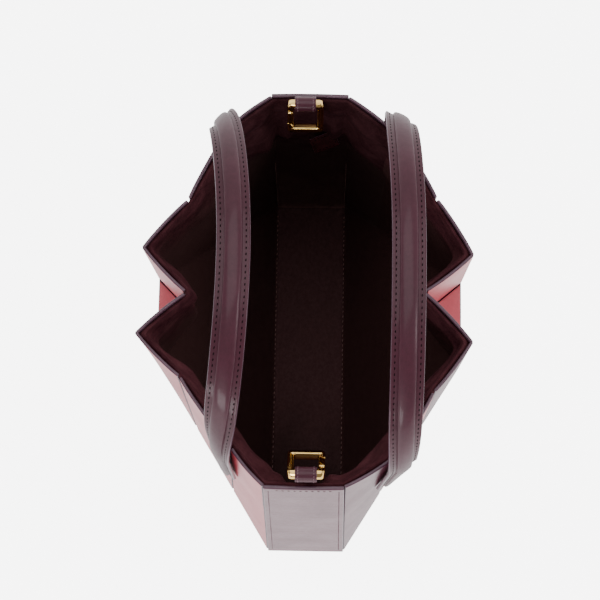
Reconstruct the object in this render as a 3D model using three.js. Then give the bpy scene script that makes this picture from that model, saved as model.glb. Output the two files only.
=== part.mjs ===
// Fold-flat leather tote bag: flat panels on flexible hinge lines, two handles, two snap hooks.
// Millimetres, +Z up. +X is the bag's right side, -Y its front end. The base rests on z = 0.
import * as THREE from 'three';

// Driving dimensions
const RIM_Z = 220;
const BAND_PROUD = 0.8;
const PANEL_T = 2.0;
const BAND_T = 2.4;
const BAND_SEAM = 0.35;
const LINING_OUT = 2.9;
const LINING_T = 1.0;
const LINING_DROP = 1.2;
const SKIN_ACROSS = 2;
const SKIN_DOWN = 5;
const END_BOW = 0.4;
const END_ACROSS = 6;
const KEEL_STOPS = { side: 0.33, corner: 0.65 };

const HANDLE = {
  width: 19.4, flange: 2.4, rollWidth: 10.2, rollHeight: 3.6,
  footDrop: 75, rise: 80, squareness: 0.9, gap: 0.5,
  stations: 44, footStations: 5, rollSteps: 8, turnHeight: 80,
};
// apex: sideways place of the top of the arch; feet: how far each foot sits from its hinge line, along the
// side panel or, below 0, along the end panel, how far it stands off the wall at the rim, and its shift along
// the strap's width at the rim and at its tip
const HANDLES = [
  { name: 'handle_left', side: -1, apex: -41, feet: { front: [3, 4, 0, 0], back: [5, 0, 0, 0] } },
  { name: 'handle_right', side: 1, apex: 58, feet: { front: [-0.01, 4, 3, -1], back: [-3, 0, 0, 0] } },
];

const CLIP = {
  size: 22.2, bar: 3.7, thick: 5.0, corner: 3.2, windowCorner: 1.6, bevel: 0.5,
  gatePivot: 6.2, gateTo: 14.6, gateGap: 0.35, gateSlant: 2.2,
  axisAboveRim: 5.3,
};
// end: which end it hangs in; turn: half turns about +Z; hang: degrees below the horizontal; shift: along X;
// axisIn: how far the bar's axis is from the wall's outer line
const CLIPS = [
  { name: 'front', end: -1, turn: 0, hang: 41, shift: 1.3, axisIn: 7.4 },
  { name: 'back', end: 1, turn: 1, hang: 58, shift: -2.7, axisIn: 8.3 },
];
const TAB = { width: 13, loopInner: 3.4, leather: 1.2, tail: 18, wallGap: 0.7 };
const PATCH = { width: 17, height: 11, thick: 1.3, x: 9, z: 163, wallGap: 0.4, turn: 24, tilt: 42 };

const LEATHER = {
  plum: { color: 0x5c1f35, roughness: 0.45, metalness: 0 },
  coral: { color: 0xc04a55, roughness: 0.45, metalness: 0 },
  suede: { color: 0x3c1c20, roughness: 0.9, metalness: 0 },
  gold: { color: 0xd0a050, roughness: 0.25, metalness: 1 },
};

// Rim corners of each quarter as distances from the middle: strip edge S, handle line H1, hinge H2, outer
// corner A. The leather is soft, so the quarters differ by a few millimetres.
const RIM = {
  front_left: { S: [24.0, 119.4], H1: [43.8, 97.0], H2: [75.7, 54.2], A: [103.0, 27.2] },
  front_right: { S: [24.0, 119.4], H1: [52.3, 102.0], H2: [77.2, 61.2], A: [100.2, 29.8] },
  back_left: { S: [24.0, 125.5], H1: [49.4, 105.6], H2: [73.8, 57.4], A: [100.6, 26.2] },
  back_right: { S: [24.0, 125.5], H1: [55.2, 101.0], H2: [79.0, 60.0], A: [101.0, 24.2] },
};
// Inward fold of each side: distance from the middle, place along Y and height.
const FOLD = {
  left: { F: [74.0, -1.6, RIM_Z], V: [72.6, -1.4, 170.5], C: [95.5, 25.8, 154.0] },
  right: { F: [72.2, 0.6, RIM_Z], V: [72.6, 0.4, 170.5], C: [98.0, 25.8, 154.0] },
};
// Corner of the base band
const BASE_CORNER = [26.0, 126.0, BAND_PROUD];
// Panels of one quarter: corners in order round the panel, and how far each edge is set in from the next
// corner's line to leave its hinge gap. The corner order is counter-clockwise from outside at +x -y.
const QUARTER_PANELS = [
  { name: 'panel_end', corners: ['S', 's', 'k1', 'H1'], insets: [2.4, 1.3, 1.2, 0] },
  { name: 'panel_side', corners: ['H1', 'k1', 'k2', 'H2'], insets: [1.2, 1.3, 1.3, 0] },
  { name: 'panel_corner', corners: ['H2', 'k2', 'C', 'A'], insets: [1.3, 1.3, 2.4, 0] },
  { name: 'panel_fold', corners: ['A', 'C', 'V', 'F'], insets: [2.4, 0.7, 0.7, 0] },
];
const QUARTERS = [
  { name: 'front_left', sx: -1, sy: -1, end: 'coral', side: 'coral', corner: 'coral', fold: 'coral' },
  { name: 'front_right', sx: 1, sy: -1, end: 'plum', side: 'coral', corner: 'plum', fold: 'coral' },
  { name: 'back_left', sx: -1, sy: 1, end: 'plum', side: 'coral', corner: 'plum', fold: 'coral' },
  { name: 'back_right', sx: 1, sy: 1, end: 'coral', side: 'coral', corner: 'coral', fold: 'coral' },
];

const group = new THREE.Group();
group.name = 'tote_bag';

const vec = (p) => new THREE.Vector3(p[0], p[1], p[2]);
const lerp = (a, b, t) => a.clone().lerp(b, t);
const smooth = (t) => t * t * (3 - 2 * t);

// Corner of the quarter with the given signs; k1 and k2 lie on the keel line from s to C.
function corner(key, sx, sy) {
  const side = FOLD[sx < 0 ? 'left' : 'right'];
  if (key === 'F' || key === 'V') {
    return new THREE.Vector3(side[key][0] * sx, side[key][1], side[key][2]);
  }
  let p;
  if (key === 's') {
    p = vec(BASE_CORNER);
  } else if (key === 'C') {
    p = vec(side.C);
  } else if (key === 'k1') {
    p = lerp(vec(BASE_CORNER), vec(side.C), KEEL_STOPS.side);
  } else if (key === 'k2') {
    p = lerp(vec(BASE_CORNER), vec(side.C), KEEL_STOPS.corner);
  } else {
    const [x, y] = RIM[`${sy < 0 ? 'front' : 'back'}_${sx < 0 ? 'left' : 'right'}`][key];
    p = new THREE.Vector3(x, y, RIM_Z);
  }
  return new THREE.Vector3(p.x * sx, p.y * sy, p.z);
}

// Adds a named mesh with a material of its own.
function addMesh(name, geometry, look) {
  const material = new THREE.MeshStandardMaterial(LEATHER[look]);
  const mesh = new THREE.Mesh(geometry, material);
  mesh.name = name;
  group.add(mesh);
  return mesh;
}

// Geometry from a list of points and a list of triangles of indices.
function solidOf(points, triangles) {
  const geometry = new THREE.BufferGeometry();
  const flat = points.flatMap((p) => [p.x, p.y, p.z]);
  geometry.setAttribute('position', new THREE.Float32BufferAttribute(flat, 3));
  geometry.setIndex(triangles.flat());
  geometry.computeVertexNormals();
  return geometry;
}

// Moves each corner of a panel in from its two edges.
function insetCorners(corners, insets) {
  const count = corners.length;
  return corners.map((p, i) => {
    const toNext = corners[(i + 1) % count].clone().sub(p).normalize();
    const toPrev = corners[(i + count - 1) % count].clone().sub(p).normalize();
    const sine = toNext.clone().cross(toPrev).length();
    const fromPrevEdge = insets[(i + count - 1) % count];
    const fromNextEdge = insets[i];
    return p.clone()
      .addScaledVector(toNext, fromPrevEdge / sine)
      .addScaledVector(toPrev, fromNextEdge / sine);
  });
}

// Outward normal at each corner of a panel.
function cornerNormals(corners) {
  const count = corners.length;
  return corners.map((p, i) => {
    const toNext = corners[(i + 1) % count].clone().sub(p);
    const toPrev = corners[(i + count - 1) % count].clone().sub(p);
    return toNext.cross(toPrev).normalize();
  });
}

// Closed slab on a grid of points; pointAt gives the outer layer's (0) and the inner layer's (1) points.
function gridSlab(across, down, pointAt) {
  const points = [];
  for (const layer of [0, 1]) {
    for (let i = 0; i <= across; i += 1) {
      for (let j = 0; j <= down; j += 1) points.push(pointAt(layer, i, j));
    }
  }
  const row = down + 1;
  const layerSize = row * (across + 1);
  const triangles = [];
  for (let i = 0; i < across; i += 1) {
    for (let j = 0; j < down; j += 1) {
      const a = i * row + j;
      const [b, c, d] = [a + 1, a + row + 1, a + row];
      triangles.push([a, b, c], [a, c, d]);
      triangles.push([a + layerSize, c + layerSize, b + layerSize]);
      triangles.push([a + layerSize, d + layerSize, c + layerSize]);
    }
  }
  const border = [];
  for (let j = 0; j < down; j += 1) border.push(j);
  for (let i = 0; i < across; i += 1) border.push(i * row + down);
  for (let j = down; j > 0; j -= 1) border.push(across * row + j);
  for (let i = across; i > 0; i -= 1) border.push(i * row);
  border.forEach((a, k) => {
    const b = border[(k + 1) % border.length];
    triangles.push([a, a + layerSize, b + layerSize], [a, b + layerSize, b]);
  });
  return solidOf(points, triangles);
}

// Leather panel on four corners: a bilinear sheet, thickened inwards.
function panelSolid(corners, insets, thickness) {
  const outer = insetCorners(corners, insets);
  const normals = cornerNormals(outer);
  const blend = (list, u, v) => lerp(lerp(list[0], list[1], v), lerp(list[3], list[2], v), u);
  return gridSlab(SKIN_ACROSS, SKIN_DOWN, (layer, i, j) => {
    const [u, v] = [i / SKIN_ACROSS, j / SKIN_DOWN];
    const normal = blend(normals, u, v).normalize();
    return blend(outer, u, v).addScaledVector(normal, -thickness * layer);
  });
}

// Prism on any flat polygon, thickened inwards.
function prismSolid(corners, insets, thickness) {
  const outer = insetCorners(corners, insets);
  const normals = cornerNormals(outer);
  const count = outer.length;
  const points = outer.concat(outer.map((p, i) => p.clone().addScaledVector(normals[i], -thickness)));
  const triangles = [];
  for (let i = 1; i < count - 1; i += 1) {
    triangles.push([0, i, i + 1], [count, count + i + 1, count + i]);
  }
  for (let i = 0; i < count; i += 1) {
    const j = (i + 1) % count;
    triangles.push([i, count + i, count + j], [i, count + j, j]);
  }
  return solidOf(points, triangles);
}

// Panels of the four quarters
const mirrored = (q) => q.sx * q.sy > 0;
for (const q of QUARTERS) {
  for (const panel of QUARTER_PANELS) {
    let keys = panel.corners;
    let insets = panel.insets;
    if (mirrored(q)) {
      keys = [keys[3], keys[2], keys[1], keys[0]];
      insets = [insets[2], insets[1], insets[0], insets[3]];
    }
    const corners = keys.map((k) => corner(k, q.sx, q.sy));
    const look = q[panel.name.replace('panel_', '')];
    addMesh(`${panel.name}_${q.name}`, panelSolid(corners, insets, PANEL_T), look);
  }
}

// Fold triangles and lower panels, one of each on either side
for (const [side, sx] of [['left', -1], ['right', 1]]) {
  const back = corner('C', sx, 1);
  const front = corner('C', sx, -1);
  const apex = corner('V', sx, 1);
  const triangle = sx > 0 ? [apex, front, back] : [apex, back, front];
  addMesh(`fold_triangle_${side}`, prismSolid(triangle, [0.9, 2.1, 0.9], PANEL_T), 'coral');
  const footBack = corner('s', sx, 1);
  const footFront = corner('s', sx, -1);
  const lower = sx > 0 ? [footFront, footBack, back, front] : [footBack, footFront, front, back];
  addMesh(`lower_panel_${side}`, prismSolid(lower, [2.8, 1.4, 2.1, 1.4], PANEL_T), 'plum');
}

// How far an end wall bows out: u across the strip, v down from the rim to the base.
const endBow = (u, v) => END_BOW * 4 * u * (1 - u) * (1 - v) * (1 - v);

// Band: one strip up the front end, under the base and up the back end.
function bandSolid() {
  const front = corner('S', 1, -1);
  const back = corner('S', 1, 1);
  const foot = corner('s', 1, 1);
  const stations = [];
  for (let j = 0; j <= SKIN_DOWN; j += 1) stations.push({ rim: front, sy: -1, v: j / SKIN_DOWN });
  for (let j = SKIN_DOWN; j >= 0; j -= 1) stations.push({ rim: back, sy: 1, v: j / SKIN_DOWN });
  return gridSlab(END_ACROSS, stations.length - 1, (layer, i, j) => {
    const { rim, sy, v } = stations[j];
    const u = i / END_ACROSS;
    const half = rim.x + (foot.x - rim.x) * v - BAND_SEAM;
    const wall = Math.abs(rim.y) + (foot.y - Math.abs(rim.y)) * v;
    const y = wall + endBow(u, v) + BAND_PROUD - BAND_T * layer;
    const z = v === 1 ? BAND_T * layer : RIM_Z * (1 - v);
    return new THREE.Vector3(half * (2 * u - 1), y * sy, z);
  });
}
addMesh('band', bandSolid(), 'plum');

// Faces of the bag's whole skin: corner loops seen from outside, and how each one is divided.
function skinFaces() {
  const faces = [];
  const add = (loop, flip, across, down, bow = 0) => {
    faces.push({ loop: flip ? [loop[3], loop[2], loop[1], loop[0]] : loop, across, down, bow });
  };
  for (const q of QUARTERS) {
    for (const panel of QUARTER_PANELS) {
      const across = panel.name === 'panel_fold' ? 1 : SKIN_ACROSS;
      add(panel.corners.map((key) => [key, q.sx, q.sy]), mirrored(q), across, SKIN_DOWN);
    }
  }
  for (const sx of [-1, 1]) {
    for (const [below, above] of [['s', 'k1'], ['k1', 'k2'], ['k2', 'C']]) {
      add([[above, sx, -1], [below, sx, -1], [below, sx, 1], [above, sx, 1]], sx < 0, 1, SKIN_ACROSS);
    }
    const triangle = [['V', sx, 1], ['C', sx, -1], ['C', sx, 1]];
    faces.push({ loop: sx > 0 ? triangle : triangle.reverse() });
  }
  for (const sy of [-1, 1]) {
    add([['S', -1, sy], ['s', -1, sy], ['s', 1, sy], ['S', 1, sy]], sy > 0, END_ACROSS, SKIN_DOWN, sy);
  }
  add([['s', -1, 1], ['s', -1, -1], ['s', 1, -1], ['s', 1, 1]], true, END_ACROSS, 1);
  return faces;
}

// Least-squares step that brings a corner the same depth behind all the faces that meet there.
function stepBehind(normals, depth, isRim) {
  const square = new THREE.Matrix3().set(1e-6, 0, 0, 0, 1e-6, 0, 0, 0, 1e-6);
  const right = new THREE.Vector3();
  for (const full of normals) {
    const n = full.clone();
    if (isRim) n.setZ(0).normalize();
    const row = n.toArray();
    for (let i = 0; i < 3; i += 1) {
      for (let j = 0; j < 3; j += 1) square.elements[i * 3 + j] += row[i] * row[j];
    }
    right.addScaledVector(n, -depth);
  }
  const step = right.applyMatrix3(square.invert());
  if (isRim) step.setZ(-LINING_DROP);
  return step;
}

// Lining: the whole skin of the bag moved inwards, one closed shell with the rim open.
function liningSolid() {
  const faces = skinFaces();
  const labelOf = ([key, sx, sy]) => `${key}${sx}${key === 'F' || key === 'V' ? 0 : sy}`;
  const corners = new Map();
  for (const face of faces) {
    const at = face.loop.map(([key, sx, sy]) => corner(key, sx, sy));
    const normals = cornerNormals(at);
    face.loop.forEach((ref, i) => {
      const label = labelOf(ref);
      if (!corners.has(label)) corners.set(label, { at: at[i], normals: [] });
      corners.get(label).normals.push(normals[i]);
    });
  }
  for (const c of corners.values()) {
    const isRim = c.at.z === RIM_Z;
    c.outer = c.at.clone().add(stepBehind(c.normals, LINING_OUT, isRim));
    c.inner = c.at.clone().add(stepBehind(c.normals, LINING_OUT + LINING_T, isRim));
  }
  const ids = new Map();
  const outer = [];
  const inner = [];
  const idOf = (p, q) => {
    const label = p.toArray().map((x) => Math.round(x * 1e3)).join(' ');
    if (!ids.has(label)) {
      ids.set(label, outer.length);
      outer.push(p);
      inner.push(q);
    }
    return ids.get(label);
  };
  const sheet = [];
  for (const face of faces) {
    const refs = face.loop.map((ref) => corners.get(labelOf(ref)));
    if (refs.length === 3) {
      sheet.push(refs.map((c) => idOf(c.outer, c.inner)));
      continue;
    }
    const blend = (side, u, v) => {
      const [a, b, c, d] = refs.map((r) => r[side]);
      const p = lerp(lerp(a, b, v), lerp(d, c, v), u);
      return p.setY(p.y + face.bow * endBow(u, v));
    };
    const at = (i, j) => {
      const [u, v] = [i / face.across, j / face.down];
      return idOf(blend('outer', u, v), blend('inner', u, v));
    };
    for (let i = 0; i < face.across; i += 1) {
      for (let j = 0; j < face.down; j += 1) {
        const [a, b, c, d] = [at(i, j), at(i, j + 1), at(i + 1, j + 1), at(i + 1, j)];
        sheet.push([a, b, c], [a, c, d]);
      }
    }
  }
  const size = outer.length;
  const triangles = [];
  const edges = new Map();
  for (const [a, b, c] of sheet) {
    triangles.push([a, b, c], [a + size, c + size, b + size]);
    for (const [from, to] of [[a, b], [b, c], [c, a]]) edges.set(`${from},${to}`, [from, to]);
  }
  for (const [a, b] of edges.values()) {
    if (!edges.has(`${b},${a}`)) triangles.push([b, a, a + size], [b, a + size, b + size]);
  }
  return solidOf(outer.concat(inner), triangles);
}
addMesh('lining', liningSolid(), 'suede');

// Handle: section with two flat flanges and a raised roll, swept from foot to foot.
function handleSection() {
  const half = HANDLE.width / 2;
  const rollHalf = HANDLE.rollWidth / 2;
  const section = [[-half, 0], [half, 0], [half, HANDLE.flange]];
  for (let i = 0; i <= HANDLE.rollSteps; i += 1) {
    const angle = (Math.PI * i) / HANDLE.rollSteps;
    section.push([rollHalf * Math.cos(angle), HANDLE.flange + HANDLE.rollHeight * Math.sin(angle)]);
  }
  section.push([-half, HANDLE.flange]);
  return section;
}

// Foot of a handle: top of its run down the wall, and its direction and width direction on the way down.
function handleFoot(spec, sy) {
  const [along, stand, rimShift, tipShift] = spec.feet[sy < 0 ? 'front' : 'back'];
  const at = (key) => corner(key, spec.side, sy);
  const [rimKey, keelKey] = along >= 0 ? ['H2', 'k2'] : ['S', 's'];
  const rimRun = at(rimKey).sub(at('H1'));
  const keelRun = at(keelKey).sub(at('k1'));
  const share = Math.abs(along) / rimRun.length();
  const top = at('H1').addScaledVector(rimRun, share);
  const run = at('k1').addScaledVector(keelRun, share).sub(top);
  const reach = run.length();
  const ridge = at('H2').sub(at('H1')).normalize().sub(at('S').sub(at('H1')).normalize());
  const wideAt = (drop) => {
    const across = share > 0 ? lerp(rimRun, keelRun, drop / reach) : ridge.clone();
    return across.multiplyScalar(across.x < 0 ? -1 : 1).normalize();
  };
  const rimWide = wideAt(0);
  const out = new THREE.Vector3(Math.abs(rimWide.y) * spec.side, Math.abs(rimWide.x) * sy, 0);
  const tip = top.clone().addScaledVector(run, HANDLE.footDrop / reach);
  tip.addScaledVector(wideAt(HANDLE.footDrop), tipShift).addScaledVector(out, HANDLE.gap);
  top.addScaledVector(rimWide, rimShift).addScaledVector(out, HANDLE.gap + stand);
  return { top, down: tip.sub(top).normalize(), wideAt };
}

// Places along one handle: underside point, width direction and outward direction.
function handleStations(spec) {
  const feet = { '-1': handleFoot(spec, -1), 1: handleFoot(spec, 1) };
  const run = (foot) => {
    const places = [];
    for (let i = 0; i < HANDLE.footStations; i += 1) {
      const drop = HANDLE.footDrop * (1 - i / HANDLE.footStations);
      places.push(foot.top.clone().addScaledVector(foot.down, drop));
    }
    return places;
  };
  const arch = (angle) => {
    const share = Math.max(Math.cos(angle), 0) ** HANDLE.squareness;
    const foot = feet[angle < 0 ? -1 : 1].top;
    const reach = Math.abs(Math.sin(angle)) ** HANDLE.squareness;
    const x = spec.apex + (foot.x - spec.apex) * reach * reach;
    return new THREE.Vector3(x, foot.y * reach, RIM_Z + HANDLE.rise * share);
  };
  const points = run(feet[-1]);
  for (let i = 0; i <= HANDLE.stations; i += 1) {
    points.push(arch(-Math.PI / 2 + (Math.PI * i) / HANDLE.stations));
  }
  points.push(...run(feet[1]).reverse());
  return points.map((p, i) => {
    const before = points[Math.max(i - 1, 0)];
    const after = points[Math.min(i + 1, points.length - 1)];
    const along = after.clone().sub(before).normalize();
    const share = smooth(Math.min(Math.max((p.z - RIM_Z) / HANDLE.turnHeight, 0), 1));
    const footWide = feet[p.y < 0 ? -1 : 1].wideAt(Math.max(RIM_Z - p.z, 0));
    const wide = footWide.lerp(new THREE.Vector3(1, 0, 0), share);
    wide.addScaledVector(along, -wide.dot(along)).normalize();
    const out = wide.clone().cross(along).normalize();
    return { at: p, wide, out };
  });
}

function handleSolid(spec) {
  const section = handleSection();
  const stations = handleStations(spec);
  const count = section.length;
  const points = [];
  for (const st of stations) {
    for (const [w, n] of section) {
      points.push(st.at.clone().addScaledVector(st.wide, w).addScaledVector(st.out, n));
    }
  }
  const triangles = [];
  for (let i = 0; i < stations.length - 1; i += 1) {
    for (let j = 0; j < count; j += 1) {
      const a = i * count + j;
      const b = i * count + ((j + 1) % count);
      triangles.push([a, b + count, b], [a, a + count, b + count]);
    }
  }
  const flat = section.map(([w, n]) => new THREE.Vector2(w, n));
  const caps = THREE.ShapeUtils.triangulateShape(flat, []);
  const last = (stations.length - 1) * count;
  for (const [a, b, c] of caps) {
    triangles.push([a, b, c], [last + a, last + c, last + b]);
  }
  return solidOf(points, triangles);
}
for (const spec of HANDLES) addMesh(spec.name, handleSolid(spec), 'plum');

// Middle of an end wall: its distance from the bag's middle at a place across it and a height.
function endWallAt(sy, x, z) {
  const rim = corner('S', 1, sy);
  const v = 1 - z / RIM_Z;
  const u = (x / rim.x + 1) / 2;
  return Math.abs(rim.y) + (BASE_CORNER[1] - Math.abs(rim.y)) * v + endBow(u, v);
}

// Axis of a clip's bar
function barAxis(spec) {
  const y = endWallAt(spec.end, 0, RIM_Z) - spec.axisIn;
  return new THREE.Vector3(spec.shift, y * spec.end, RIM_Z + CLIP.axisAboveRim);
}

// Clip parts are drawn flat: x along the bar, y down the hook from the bar's axis, thickness centred on 0
function roundedCorner(shape, from, at, to, radius) {
  const a = new THREE.Vector2().subVectors(from, at).normalize().multiplyScalar(radius).add(at);
  const b = new THREE.Vector2().subVectors(to, at).normalize().multiplyScalar(radius).add(at);
  shape.lineTo(a.x, a.y);
  shape.quadraticCurveTo(at.x, at.y, b.x, b.y);
}

// Slab on a closed outline, with a small chamfer round both faces.
function chamferedSlab(shape, thick, chamfer) {
  const outline = [];
  for (const p of shape.getPoints(6)) {
    const near = outline.some((o) => o.distanceTo(p) < 1e-3);
    if (!near) outline.push(p);
  }
  if (THREE.ShapeUtils.isClockWise(outline)) outline.reverse();
  const count = outline.length;
  const setIn = outline.map((p, i) => {
    const before = outline[(i + count - 1) % count];
    const after = outline[(i + 1) % count];
    const a = new THREE.Vector2().subVectors(p, before).normalize();
    const b = new THREE.Vector2().subVectors(after, p).normalize();
    const mean = new THREE.Vector2(-(a.y + b.y), a.x + b.x).normalize();
    const miter = Math.max(mean.dot(new THREE.Vector2(-a.y, a.x)), 0.6);
    return p.clone().addScaledVector(mean, chamfer / miter);
  });
  const layers = [
    [setIn, -thick / 2], [outline, -thick / 2 + chamfer],
    [outline, thick / 2 - chamfer], [setIn, thick / 2],
  ];
  const points = layers.flatMap(([loop, z]) => loop.map((p) => new THREE.Vector3(p.x, p.y, z)));
  const triangles = [];
  for (let layer = 0; layer < 3; layer += 1) {
    for (let i = 0; i < count; i += 1) {
      const lowA = layer * count + i;
      const lowB = layer * count + ((i + 1) % count);
      triangles.push([lowA, lowB, lowB + count], [lowA, lowB + count, lowA + count]);
    }
  }
  for (const [i, j, k] of THREE.ShapeUtils.triangulateShape(setIn, [])) {
    triangles.push([i, k, j], [3 * count + i, 3 * count + j, 3 * count + k]);
  }
  return solidOf(points, triangles);
}

const clipHalf = CLIP.size / 2;
const windowHalf = clipHalf - CLIP.bar;
const clipTop = -CLIP.bar / 2;
const clipFoot = clipTop + CLIP.size;
const gatePivot = { x: clipHalf - CLIP.bar / 2, y: CLIP.gatePivot };

// Open frame: the gate's side has a gap from the gate's hinge to its slanted free end.
function clipFrameShape() {
  const v2 = (x, y) => new THREE.Vector2(x, y);
  const shape = new THREE.Shape();
  const outerTopLeft = v2(-clipHalf, clipTop);
  const outerTopRight = v2(clipHalf, clipTop);
  const outerFootLeft = v2(-clipHalf, clipFoot);
  const outerFootRight = v2(clipHalf, clipFoot);
  const innerTop = CLIP.bar / 2;
  const innerFoot = clipFoot - CLIP.bar;
  const hingeEnd = gatePivot.y - CLIP.bar / 2 - CLIP.gateGap;
  shape.moveTo(-clipHalf + CLIP.corner, clipTop);
  roundedCorner(shape, v2(0, clipTop), outerTopRight, v2(clipHalf, 5), CLIP.corner);
  shape.lineTo(clipHalf, hingeEnd);
  shape.lineTo(windowHalf, hingeEnd);
  const small = CLIP.windowCorner * 0.5;
  roundedCorner(shape, v2(windowHalf, 5), v2(windowHalf, innerTop), v2(0, innerTop), small);
  roundedCorner(shape, v2(0, innerTop), v2(-windowHalf, innerTop), v2(-windowHalf, 9), CLIP.windowCorner);
  roundedCorner(shape, v2(-windowHalf, 9), v2(-windowHalf, innerFoot), v2(0, innerFoot), CLIP.windowCorner);
  roundedCorner(shape, v2(0, innerFoot), v2(windowHalf, innerFoot), v2(windowHalf, 15), small);
  shape.lineTo(windowHalf, CLIP.gateTo + CLIP.gateGap);
  shape.lineTo(clipHalf, CLIP.gateTo - CLIP.gateSlant + CLIP.gateGap);
  roundedCorner(shape, v2(clipHalf, 15), outerFootRight, v2(0, clipFoot), CLIP.corner);
  roundedCorner(shape, v2(0, clipFoot), outerFootLeft, v2(-clipHalf, 9), CLIP.corner);
  roundedCorner(shape, v2(-clipHalf, 9), outerTopLeft, v2(0, clipTop), CLIP.corner);
  shape.closePath();
  return shape;
}

// Gate: round knuckle at the hinge, slanted free end.
function clipGateShape() {
  const shape = new THREE.Shape();
  shape.moveTo(windowHalf, CLIP.gateTo);
  shape.lineTo(clipHalf, CLIP.gateTo - CLIP.gateSlant);
  shape.absarc(gatePivot.x, gatePivot.y, CLIP.bar / 2, 0, Math.PI, true);
  shape.closePath();
  return shape;
}

// Flat clip frame to bag frame: bar along X, hook hanging inwards and down from its axis.
function clipMatrix(spec) {
  const hang = THREE.MathUtils.degToRad(spec.hang);
  const downHook = new THREE.Vector3(0, Math.cos(hang), -Math.sin(hang));
  const across = new THREE.Vector3(1, 0, 0);
  const face = across.clone().cross(downHook);
  const place = new THREE.Matrix4().makeBasis(across, downHook, face);
  place.premultiply(new THREE.Matrix4().makeRotationZ(spec.turn * Math.PI));
  return place.setPosition(barAxis(spec));
}

for (const spec of CLIPS) {
  const place = clipMatrix(spec);
  for (const [piece, shape] of [['frame', clipFrameShape()], ['gate', clipGateShape()]]) {
    const slab = chamferedSlab(shape, CLIP.thick, CLIP.bevel);
    addMesh(`clip_${piece}_${spec.name}`, slab.applyMatrix4(place), 'gold');
  }
}

// Tab: a leather loop round the clip's bar with its tail down the inside of the end wall.
// Drawn in a plane with x inwards from the bar's axis and y up, extruded along the bar.
function tabSolid(spec) {
  const outer = TAB.loopInner + TAB.leather;
  const tailOut = LINING_OUT + LINING_T + TAB.wallGap - spec.axisIn;
  const tailIn = tailOut + TAB.leather;
  const meets = (x) => new THREE.Vector2(x, -Math.sqrt(outer * outer - x * x));
  const shape = new THREE.Shape();
  shape.moveTo(tailOut, -TAB.tail);
  shape.lineTo(tailIn, -TAB.tail);
  shape.lineTo(tailIn, meets(tailIn).y);
  shape.absarc(0, 0, outer, meets(tailIn).angle(), meets(tailOut).angle() + 2 * Math.PI, false);
  shape.closePath();
  const hole = new THREE.Path();
  hole.absarc(0, 0, TAB.loopInner, 0, 2 * Math.PI, true);
  shape.holes.push(hole);
  const settings = { depth: TAB.width, bevelEnabled: false, curveSegments: 28 };
  const geometry = new THREE.ExtrudeGeometry(shape, settings);
  geometry.translate(0, 0, -TAB.width / 2);
  const place = new THREE.Matrix4().makeBasis(
    new THREE.Vector3(0, 1, 0), new THREE.Vector3(0, 0, 1), new THREE.Vector3(1, 0, 0));
  place.premultiply(new THREE.Matrix4().makeRotationZ(spec.turn * Math.PI));
  return geometry.applyMatrix4(place.setPosition(barAxis(spec)));
}
for (const spec of CLIPS) addMesh(`tab_${spec.name}`, tabSolid(spec), 'plum');

// Patch on the inside of the back end, sewn to the lining by its top corner and hanging a little askew.
function patchSolid() {
  const geometry = new THREE.BoxGeometry(PATCH.width, PATCH.thick, PATCH.height);
  geometry.rotateY(-THREE.MathUtils.degToRad(PATCH.turn));
  geometry.rotateX(-THREE.MathUtils.degToRad(PATCH.tilt));
  geometry.computeBoundingBox();
  const { max } = geometry.boundingBox;
  const wall = Math.min(
    endWallAt(1, PATCH.x + max.x, PATCH.z + max.z), endWallAt(1, PATCH.x - max.x, PATCH.z + max.z));
  geometry.translate(PATCH.x, wall - LINING_OUT - LINING_T - PATCH.wallGap - max.y, PATCH.z);
  return geometry;
}
addMesh('inner_patch', patchSolid(), 'plum');

export default group;
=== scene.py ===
"""Fold-flat leather tote bag.

It has leather panels, a base band, a suede lining, rolled handles and two gold snap hooks. Sizes are in
millimetres in the bag's own frame (+Z up, -Y front) until a mesh is made, which is in metres.
"""
import logging
import math
from dataclasses import dataclass, field, fields
from enum import Enum
from typing import Callable, Sequence

import bpy
import numpy as np
from mathutils import Matrix, Vector, noise
from mathutils.geometry import tessellate_polygon

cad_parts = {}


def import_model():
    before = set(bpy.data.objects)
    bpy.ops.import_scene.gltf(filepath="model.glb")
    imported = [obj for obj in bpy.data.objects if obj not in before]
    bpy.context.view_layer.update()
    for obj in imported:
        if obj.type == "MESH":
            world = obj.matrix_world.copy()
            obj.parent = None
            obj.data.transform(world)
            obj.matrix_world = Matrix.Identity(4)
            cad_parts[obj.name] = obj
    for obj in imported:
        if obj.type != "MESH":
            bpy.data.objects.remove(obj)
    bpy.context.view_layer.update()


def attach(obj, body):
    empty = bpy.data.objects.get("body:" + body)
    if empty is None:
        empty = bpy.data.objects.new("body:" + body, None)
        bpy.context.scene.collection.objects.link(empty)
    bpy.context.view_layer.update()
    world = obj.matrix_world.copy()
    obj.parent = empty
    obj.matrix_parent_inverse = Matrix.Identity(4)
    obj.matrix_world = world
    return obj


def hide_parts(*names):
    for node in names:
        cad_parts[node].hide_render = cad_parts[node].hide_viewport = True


MM = 0.001
LOG = logging.getLogger("tote_bag")
Node = bpy.types.Node
Socket = bpy.types.NodeSocket
Tree = bpy.types.NodeTree
Material = bpy.types.Material
Piece = bpy.types.Object
Points = np.ndarray
Stops = tuple[float, ...]
Loops = Sequence[tuple[int, ...]]
Pair = tuple[float, float]
Triple = tuple[float, float, float]
Colour = Triple
Reference = tuple[str, int, int]


class Labelled(Enum):
    """Options that give pieces and finishes their names."""

    @property
    def label(self) -> str:
        """Name in small letters."""
        return self.name.lower()


class Side(Labelled):
    """Left or right half of the bag, with its sign along X."""

    LEFT = -1
    RIGHT = 1


class End(Labelled):
    """Front or back end of the bag, with its sign along Y."""

    FRONT = -1
    BACK = 1


class Hide(Labelled):
    """Leather colours of the bag and the record slot of each."""

    PLUM = "leather_plum"
    CORAL = "leather_coral"


class Axis(Enum):
    """Directions along which a finish may fade."""

    Y = "Y"
    Z = "Z"


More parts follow.
